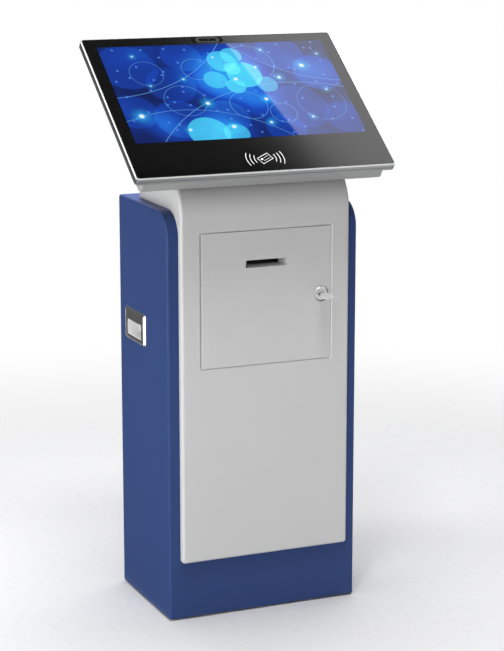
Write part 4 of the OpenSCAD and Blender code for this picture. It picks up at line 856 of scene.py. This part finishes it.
class KIOSK_OT_service_door(Operator):
    """Service door with its receipt slot, lock and key"""
    bl_idname = "kiosk.service_door"
    bl_label = "Service door"

    def execute(self, context):
        dress("grey powder coat", 0.5, "service_door")
        dress("grey plastic", 0.3, "slot_funnel")

        def at_lock(shape, x=0.0, z=0.0):
            return put(on_front, shape, shift=(LOCK_X + x, LOCK_Z + z, 0))

        rim = profile((LOCK_R, 0, 0.1), (LOCK_R, 1.4, 0.5), (11.2, LOCK_T, 0.7), (7.5, LOCK_T, 0.25),
                      (7.06, 3.0, 0.1), (7.06, -LOCK_TAIL, 0.2), (9.4, -LOCK_TAIL, 0.3), (9.4, 0, 0.05))
        nut = ((9.5, -2), (12.78, -2), (12.78, -6), (9.5, -6))
        piece("lock_ring", "satin nickel",
              [at_lock(turned(rim, 72, True)), at_lock(turned(nut, 6, True))], ["lock_housing"],
              "service_door", smooth=50)
        dot = turned(((0.05, 1.6), (1.15, 1.6), (1.15, 2.9), (0.8, 3.1), (0.05, 3.2)), 16)
        piece("lock_mark", "matt black print", [at_lock(dot, -12.2, 1.2)],
              body="service_door")
        # A dark rubber ring set off to the lower right of the lock: painted contact shadow of the lock on the
        # door
        shadow_ring = turned(((13, 0.01), (14.9, 0.01), (14.9, 0.45), (14.6, 0.6), (13, 0.6)), 48, True)
        piece("lock_gasket", "rubber", [at_lock(shadow_ring, 1.0, -0.8)], body="service_door")
        # A thin black plate on the plug round the key's blade: painted shade of the keyway slot
        points, faces = plate(rounded(12, 3.7, 1.2, 5, (-0.5, 0)), 3.0, 3.26, 0.04)
        c, s = math.cos(KEY_ROLL), math.sin(KEY_ROLL)
        points = points @ np.array([[c, s, 0], [-s, c, 0], [0, 0, 1]])
        piece("keyway", "matt black print", [at_lock((points, faces))],
              body="service_plug")
        dress("satin nickel", 0.2, "lock_plug")
        dress("zinc plate", 0.3, "lock_cam")
        dress("key steel", 0.3, "key")
        return {"FINISHED"}


class KIOSK_OT_handles(Operator):
    """Recessed pull handles in both sides"""
    bl_idname = "kiosk.handles"
    bl_label = "Side handles"

    def execute(self, context):
        bevel = profile((0, 0, 0), (0, 0.5, 0.3), (5, 4, 0.5), (5.9, 4, 0.15), (6.1, 3.3, 0.1),
                        (7, 3.3, 0.1), (7.2, 3.8, 0.1), (7.7, 3.8, 0))
        lip = profile((-1, 3.8, 0), (0, 3.8, 0.5), (0, 0, 0))
        dish = profile((20, -26, 0), (-1.5, -26, 4), (-1.5, -0.1, 0), (0, -0.1, 0.2), (0, -24.5, 10),
                       (20, -24.5, 0), k=6)
        lining = profile((0.05, -4, 0.1), (0.05, 2.9, 0.1), (0.45, 2.9, 0.1), (0.45, -4, 0.1))
        outside = rounded(PULL_L, PULL_H, PULL_R, 6, (PULL_Y, PULL_Z))
        mouth = rounded(CUP_L, CUP_Z1 - CUP_Z0, 1.5, 6, (PULL_Y, (CUP_Z0 + CUP_Z1) / 2))
        cup = rounded(CUP_L, CUP_TOP - CUP_Z0, 6, 6, (PULL_Y, (CUP_Z0 + CUP_TOP) / 2))
        frame_shape = hoop(np.concatenate([rings(outside, bevel), rings(mouth, lip)]))
        cup_shapes = (solid(rings(cup, dish)), hoop(rings(mouth, lining)))
        piece("handle_frame_pair", "handle metal",
              [put(on_side, frame_shape, side) for side in (-1, 1)], ["handle_frames"], smooth=28)
        piece("finger_cups", "cup metal",
              [put(on_side, shape, side) for side in (-1, 1) for shape in cup_shapes], ["handle_cups"])
        return {"FINISHED"}


class KIOSK_OT_monitor(Operator):
    """Tilted touch monitor: frame, glass with the picture, camera and card field"""
    bl_idname = "kiosk.monitor"
    bl_label = "Touch monitor"

    def execute(self, context):
        w, h, middle = 2 * HEAD_U, HEAD_TOP - HEAD_LOW, (0.0, (HEAD_TOP + HEAD_LOW) / 2)
        head = rounded(w, h, FRAME_R, 10, middle)
        section = profile(
            (0, -FRAME_T, 0.6), (0, -10, 0.15), (1, -10, 0.2), (1, -8.8, 0.2), (0, -8.8, 0.15),
            (0, -2.1, 0.1), (1.6, -0.5, 0.2), (RIM - 0.1, -0.5, 0.1), (RIM - 0.1, GLASS_BACK, 0.2),
            (RIM + 5, GLASS_BACK, 0.2), (RIM + 5, 2 - FRAME_T, 0.3),
            (RIM + 23, 2 - FRAME_T, 0.3), (RIM + 23, -FRAME_T, 0.3), k=4)
        piece("rim_and_ledge", "aluminium", [put(on_screen, hoop(rings(head, section)))],
              ["monitor_frame"], smooth=50)
        bright = profile((0, -1.9, 0.15), (1.75, -0.15, 0.3), (RIM, -0.15, 0.2), (RIM, -1.2, 0.1),
                         (1, -2.6, 0.1))
        piece("rim_edge", "cut aluminium", [put(on_screen, hoop(rings(head, bright)))],
              smooth=50)
        gap = 2 * (RIM + GLASS_GAP)
        pane = plate(rounded(w - gap, h - gap, GLASS_R, 10, middle), GLASS_BACK, GLASS_FACE, 0.35)
        piece("screen_glass", "screen glass", [put(on_screen, pane)], ["front_glass"],
              uv=glass_place)
        dress("display glass", 0.2, "display_panel")
        dress("circuit laminate", 0, "display_board", "card_reader")
        dress("black plastic", 0, "camera_module", "speakers")
        window = plate(rounded(*CAMERA_PANE, 10, (CAMERA_U - 2.5, CAMERA_V)), -0.35, -0.22, 0.05)
        around = (CAMERA_U - 1.5, CAMERA_V)
        trim = framed(rounded(*CAMERA_TRIM, 10, around), rounded(*CAMERA_SLIT, 10, around), -0.3, -0.02, 0.12)
        lens = turned(profile((0.05, -0.25, 0), (2.4, -0.25, 0), (2.4, -0.12, 0.06), (0.05, -0.05, 0)))
        piece("camera_window", "matt black print", [put(on_screen, window)])
        piece("camera_ring", "dark trim", [put(on_screen, trim)], ["camera_surround"])
        piece("camera_lens", "lens glass",
              [put(on_screen, lens, shift=(CAMERA_U, CAMERA_V, 0))])
        return {"FINISHED"}


class KIOSK_OT_printer(Operator):
    """Receipt printer, its shelf and its paper roll"""
    bl_idname = "kiosk.printer"
    bl_label = "Receipt printer"

    def execute(self, context):
        dress("zinc plate", 0.3, "printer_shelf")
        dress("black plastic", 0.3, "print_head", "printer_chassis", "feed_motor", "feed_switch",
              "roll_holder", "printer_lid")
        dress("rubber", 0.2, "platen_roller")
        dress("thermal paper", 0.2, "paper_roll")
        dress("blue plastic", 0.4, "feed_button", segments=3)
        return {"FINISHED"}


class KIOSK_OT_electronics(Operator):
    """Computer, power supply and the connectors in the rear sill"""
    bl_idname = "kiosk.electronics"
    bl_label = "Electronics"

    def execute(self, context):
        dress("zinc plate", 0.3, "component_shelf", "power_supply")
        dress("black plastic", 0.3, "pc_case", "power_inlet", "power_switch", "network_socket")
        dress("circuit laminate", 0, "pc_mainboard")
        dress("bright steel", 0.3, "pc_button")
        dress("red plastic", 0.3, "power_rocker")
        return {"FINISHED"}


class KIOSK_OT_rear(Operator):
    """Rear door with its hinges, lock and fan"""
    bl_idname = "kiosk.rear"
    bl_label = "Rear door and fan"

    def execute(self, context):
        dress("blue powder coat", 0.4, "rear_door")
        dress("zinc plate", 0.2, "rear_hinge_leaves", "rear_door_leaves")
        dress("chrome", 0.4, "rear_lock_housing")
        dress("chrome", 0.2, "rear_lock_plug")
        dress("zinc plate", 0.3, "rear_lock_cam")
        dress("black plastic", 0.3, "fan_frame", "fan_rotor")
        return {"FINISHED"}


# Stage

def aim_at(thing, at, aim):
    """Places a lamp or camera and turns its -Z axis towards a point, with +Y up."""
    thing.location = at
    thing.rotation_euler = (Vector(aim) - Vector(at)).to_track_quat("-Z", "Y").to_euler()


def lamp(name, at, aim, size, power, gloss=False):
    """Soft rectangular lamp that looks from one point towards another, unseen by the camera."""
    data = bpy.data.lights.new(name, "AREA")
    data.shape = "RECTANGLE"
    data.size, data.size_y = size
    data.energy = power
    thing = new_object(name, data)
    aim_at(thing, at, aim)
    thing.visible_camera = False
    thing.visible_glossy = gloss


def staged(name, shape, material):
    """A thing of the stage, which is not part of the kiosk, from (points, faces)."""
    mesh = bpy.data.meshes.new(name)
    mesh.from_pydata(np.asarray(shape[0]).tolist(), [], shape[1])
    mesh.materials.append(material)
    thing = new_object(name, mesh)
    return thing


def card(name, shape, material):
    """A card of the stage that shows in reflections alone."""
    thing = staged(name, shape, material)
    thing.visible_camera = thing.visible_diffuse = thing.visible_shadow = False
    return thing


def glowing(name, colour, strength):
    """Material of a card that gives off one even light."""
    r = Recipe(name)
    return r.end(r.light(strength, colour))


def floor_cloth():
    """The floor's material: matt and pale, and white far off where it is seen or mirrored."""
    r = Recipe("floor")
    at = r.object_space()
    far = r.ramp(r.vector("LENGTH", at), 0.75, 2.3, smooth=True)
    seen = r.seen()
    tone = r.mix(r.ramp(r.noise(at, 60.0, 3.0), 0.3, 0.7), linear("#cfcfd1"), linear("#d3d3d4"))
    matt = r.step("ShaderNodeBsdfDiffuse", r.mix(seen, linear("#e6e6e6"), tone))
    return r.end(r.blend(r.math("MULTIPLY", far, seen), matt, r.light(1.0)))


def mirrored(eye, u, v, height):
    """Where the sight line from the eye to a place on the glass, mirrored there, meets a level plane."""
    at = on_screen([[u, v, GLASS_FACE]])[0]
    normal = np.array([0.0, -TILT_SIN, TILT_COS])
    ray = at - eye
    ray = ray - 2 * ray.dot(normal) * normal
    return at + ray * (height - at[2]) / ray[2]


def overhead_card(eye, height=4.0):
    """Level card over the kiosk, for the glare on the glass as the eye sees it.

    The glare's edge runs through two places on the glass. Mirrored to the card's height they give its
    line, and the card's light depends on the distance beyond that line: bright past it, and in a strip
    well before it.
    """
    a, b = mirrored(eye, 31.5, 135.8, height), mirrored(eye, 92.7, -133.3, height)
    middle, along = (a + b) / 2, (b - a) / np.linalg.norm(b - a)
    across = np.array([-along[1], along[0], 0.0]) * np.sign(-along[1])
    grid = np.stack([[middle + across * d + along * e for e in (-5.0, 3.5)]
                     for d in (-4.5, -1.6, -0.01, 0.0, 0.35, 3.0)])
    r = Recipe("overhead_card")
    beyond = r.vector("DOT_PRODUCT", r.vector("SUBTRACT", r.object_space(), tuple(middle)), tuple(across))
    glare = 0.02
    for start, end, strength in ((0.0, 0.3, 0.2), (-0.003, 0.003, 2.4), (-1.7, -2.1, 2.2)):
        glare = r.math("ADD", glare, r.ramp(beyond, start, end, 0.0, strength))
    card("overhead_card", sheet(grid), r.end(r.light(glare)))


class KIOSK_OT_stage(Operator):
    """Pale floor, soft studio light and the camera"""
    bl_idname = "kiosk.stage"
    bl_label = "Stage"

    def execute(self, context):
        s = context.scene.kiosk_stage
        scene = context.scene
        scene.view_settings.view_transform = "Standard"

        target = np.array([0.03193, 0.0, 0.54108])
        level = s.camera_reach * math.cos(s.camera_rise)
        eye = target + [level * math.sin(s.camera_turn), -level * math.cos(s.camera_turn),
                        s.camera_reach * math.sin(s.camera_rise)]
        data = bpy.data.cameras.new("camera")
        data.lens = s.lens
        data.sensor_width = 36.0
        data.clip_end = 100.0
        scene.camera = new_object("camera", data)
        aim_at(scene.camera, eye, target)

        # Even dim light from all round, and white where the world is seen or mirrored
        r = Recipe("studio", "World")
        scene.world = r.end(r.blend(r.seen(), r.light(s.ambient, kind="Background"),
                                    r.light(1.0, kind="Background")))

        turn = np.linspace(0, 2 * np.pi, 97)[:-1]
        disc = [np.column_stack([d * np.cos(turn), d * np.sin(turn), turn * 0])
                for d in (0.001, 0.5, 1.5, 4.0, 12.0, 40.0)]
        staged("floor", sleeve(np.stack(disc)), floor_cloth())

        overhead_card(eye)
        # Grey cards back left and right keep the side walls' own blue at a slant
        sides = ([(-2.4, -0.12, 0.003), (-0.203, -0.12, 0.003), (-0.203, 0.2, 0.003), (-0.35, 1.6, 0.003),
                  (-0.35, 1.6, 1.7), (-2.4, 1.6, 1.7), (-2.4, 1.6, 0.003),
                  (1.5, -0.5, 0.003), (1.5, 2.4, 0.003), (1.5, 2.4, 0.9), (1.5, -0.5, 0.9)],
                 [(0, 1, 2, 3, 6), (6, 3, 4, 5), (7, 8, 9, 10)])
        card("side_cards", sides, glowing("side_cards", (0.9, 0.95, 1.0, 1.0), 0.12))
        # A blue card behind gives the cabinet's top its colour at a slant
        behind = [(-0.3, 1.7, 0.9), (1.6, 1.7, 0.9), (1.6, 1.7, 1.6), (-0.3, 1.7, 1.6)]
        card("back_card", (behind, [(0, 1, 2, 3)]), glowing("back_card", (0.3, 0.42, 1.0, 1.0), 2.7))
        # A small card before the head, unseen but for its shadow, deepens the shade under the head
        before = [(-0.3, -0.26, 0.93), (0.3, -0.26, 0.93), (0.3, -0.165, 0.93), (-0.3, -0.165, 0.93)]
        flag = card("shade_card", (before, [(0, 1, 2, 3)]), finish("matt black print"))
        flag.visible_glossy = False
        flag.visible_shadow = True

        lamp("lamp_left", (-2.6, -0.3, 0.7), (0, 0, 0.6), (0.9, 1.8), 47, gloss=True)
        lamp("lamp_high", (-0.5, -1.5, 4.2), (0, 0, 0.5), (1.4, 0.8), 85)
        lamp("lamp_key", (-1.7, -2.4, 3.0), (0, 0, 0.5), (0.5, 0.5), 20)
        lamp("lamp_low", (-0.8, -2.6, 0.3), (0, 0, 0.6), (2.6, 0.5), 12)
        lamp("lamp_top", (0.2, 0.6, 3.6), (0, 0.1, 0.0), (2.4, 2.4), 131)
        return {"FINISHED"}


class KIOSK_PT_sidebar(Panel):
    """Lists the kiosk's pieces and values in the sidebar"""
    bl_label = "Check-in kiosk"
    bl_idname = "KIOSK_PT_sidebar"
    bl_space_type = "VIEW_3D"
    bl_region_type = "UI"
    bl_category = "Kiosk"

    def draw(self, context):
        for operator in STEPS:
            self.layout.operator(operator.bl_idname)
        for group in (context.scene.kiosk_colours, context.scene.kiosk_stage):
            box = self.layout.box()
            for key in group.__annotations__:
                box.prop(group, key)


STEPS = (KIOSK_OT_cabinet, KIOSK_OT_cover, KIOSK_OT_service_door, KIOSK_OT_handles, KIOSK_OT_monitor,
         KIOSK_OT_printer, KIOSK_OT_electronics, KIOSK_OT_rear, KIOSK_OT_stage)
CLASSES = (KioskColours, KioskStage) + STEPS + (KIOSK_PT_sidebar,)


def register():
    for item in CLASSES:
        bpy.utils.register_class(item)
    bpy.types.Scene.kiosk_colours = PointerProperty(type=KioskColours)
    bpy.types.Scene.kiosk_stage = PointerProperty(type=KioskStage)


def unregister():
    del bpy.types.Scene.kiosk_stage
    del bpy.types.Scene.kiosk_colours
    for item in reversed(CLASSES):
        bpy.utils.unregister_class(item)


def main():
    """Registers the add-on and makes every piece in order."""
    register()
    for step in STEPS:
        group, name = step.bl_idname.split(".")
        getattr(getattr(bpy.ops, group), name)()


if __name__ == "__main__":
    main()
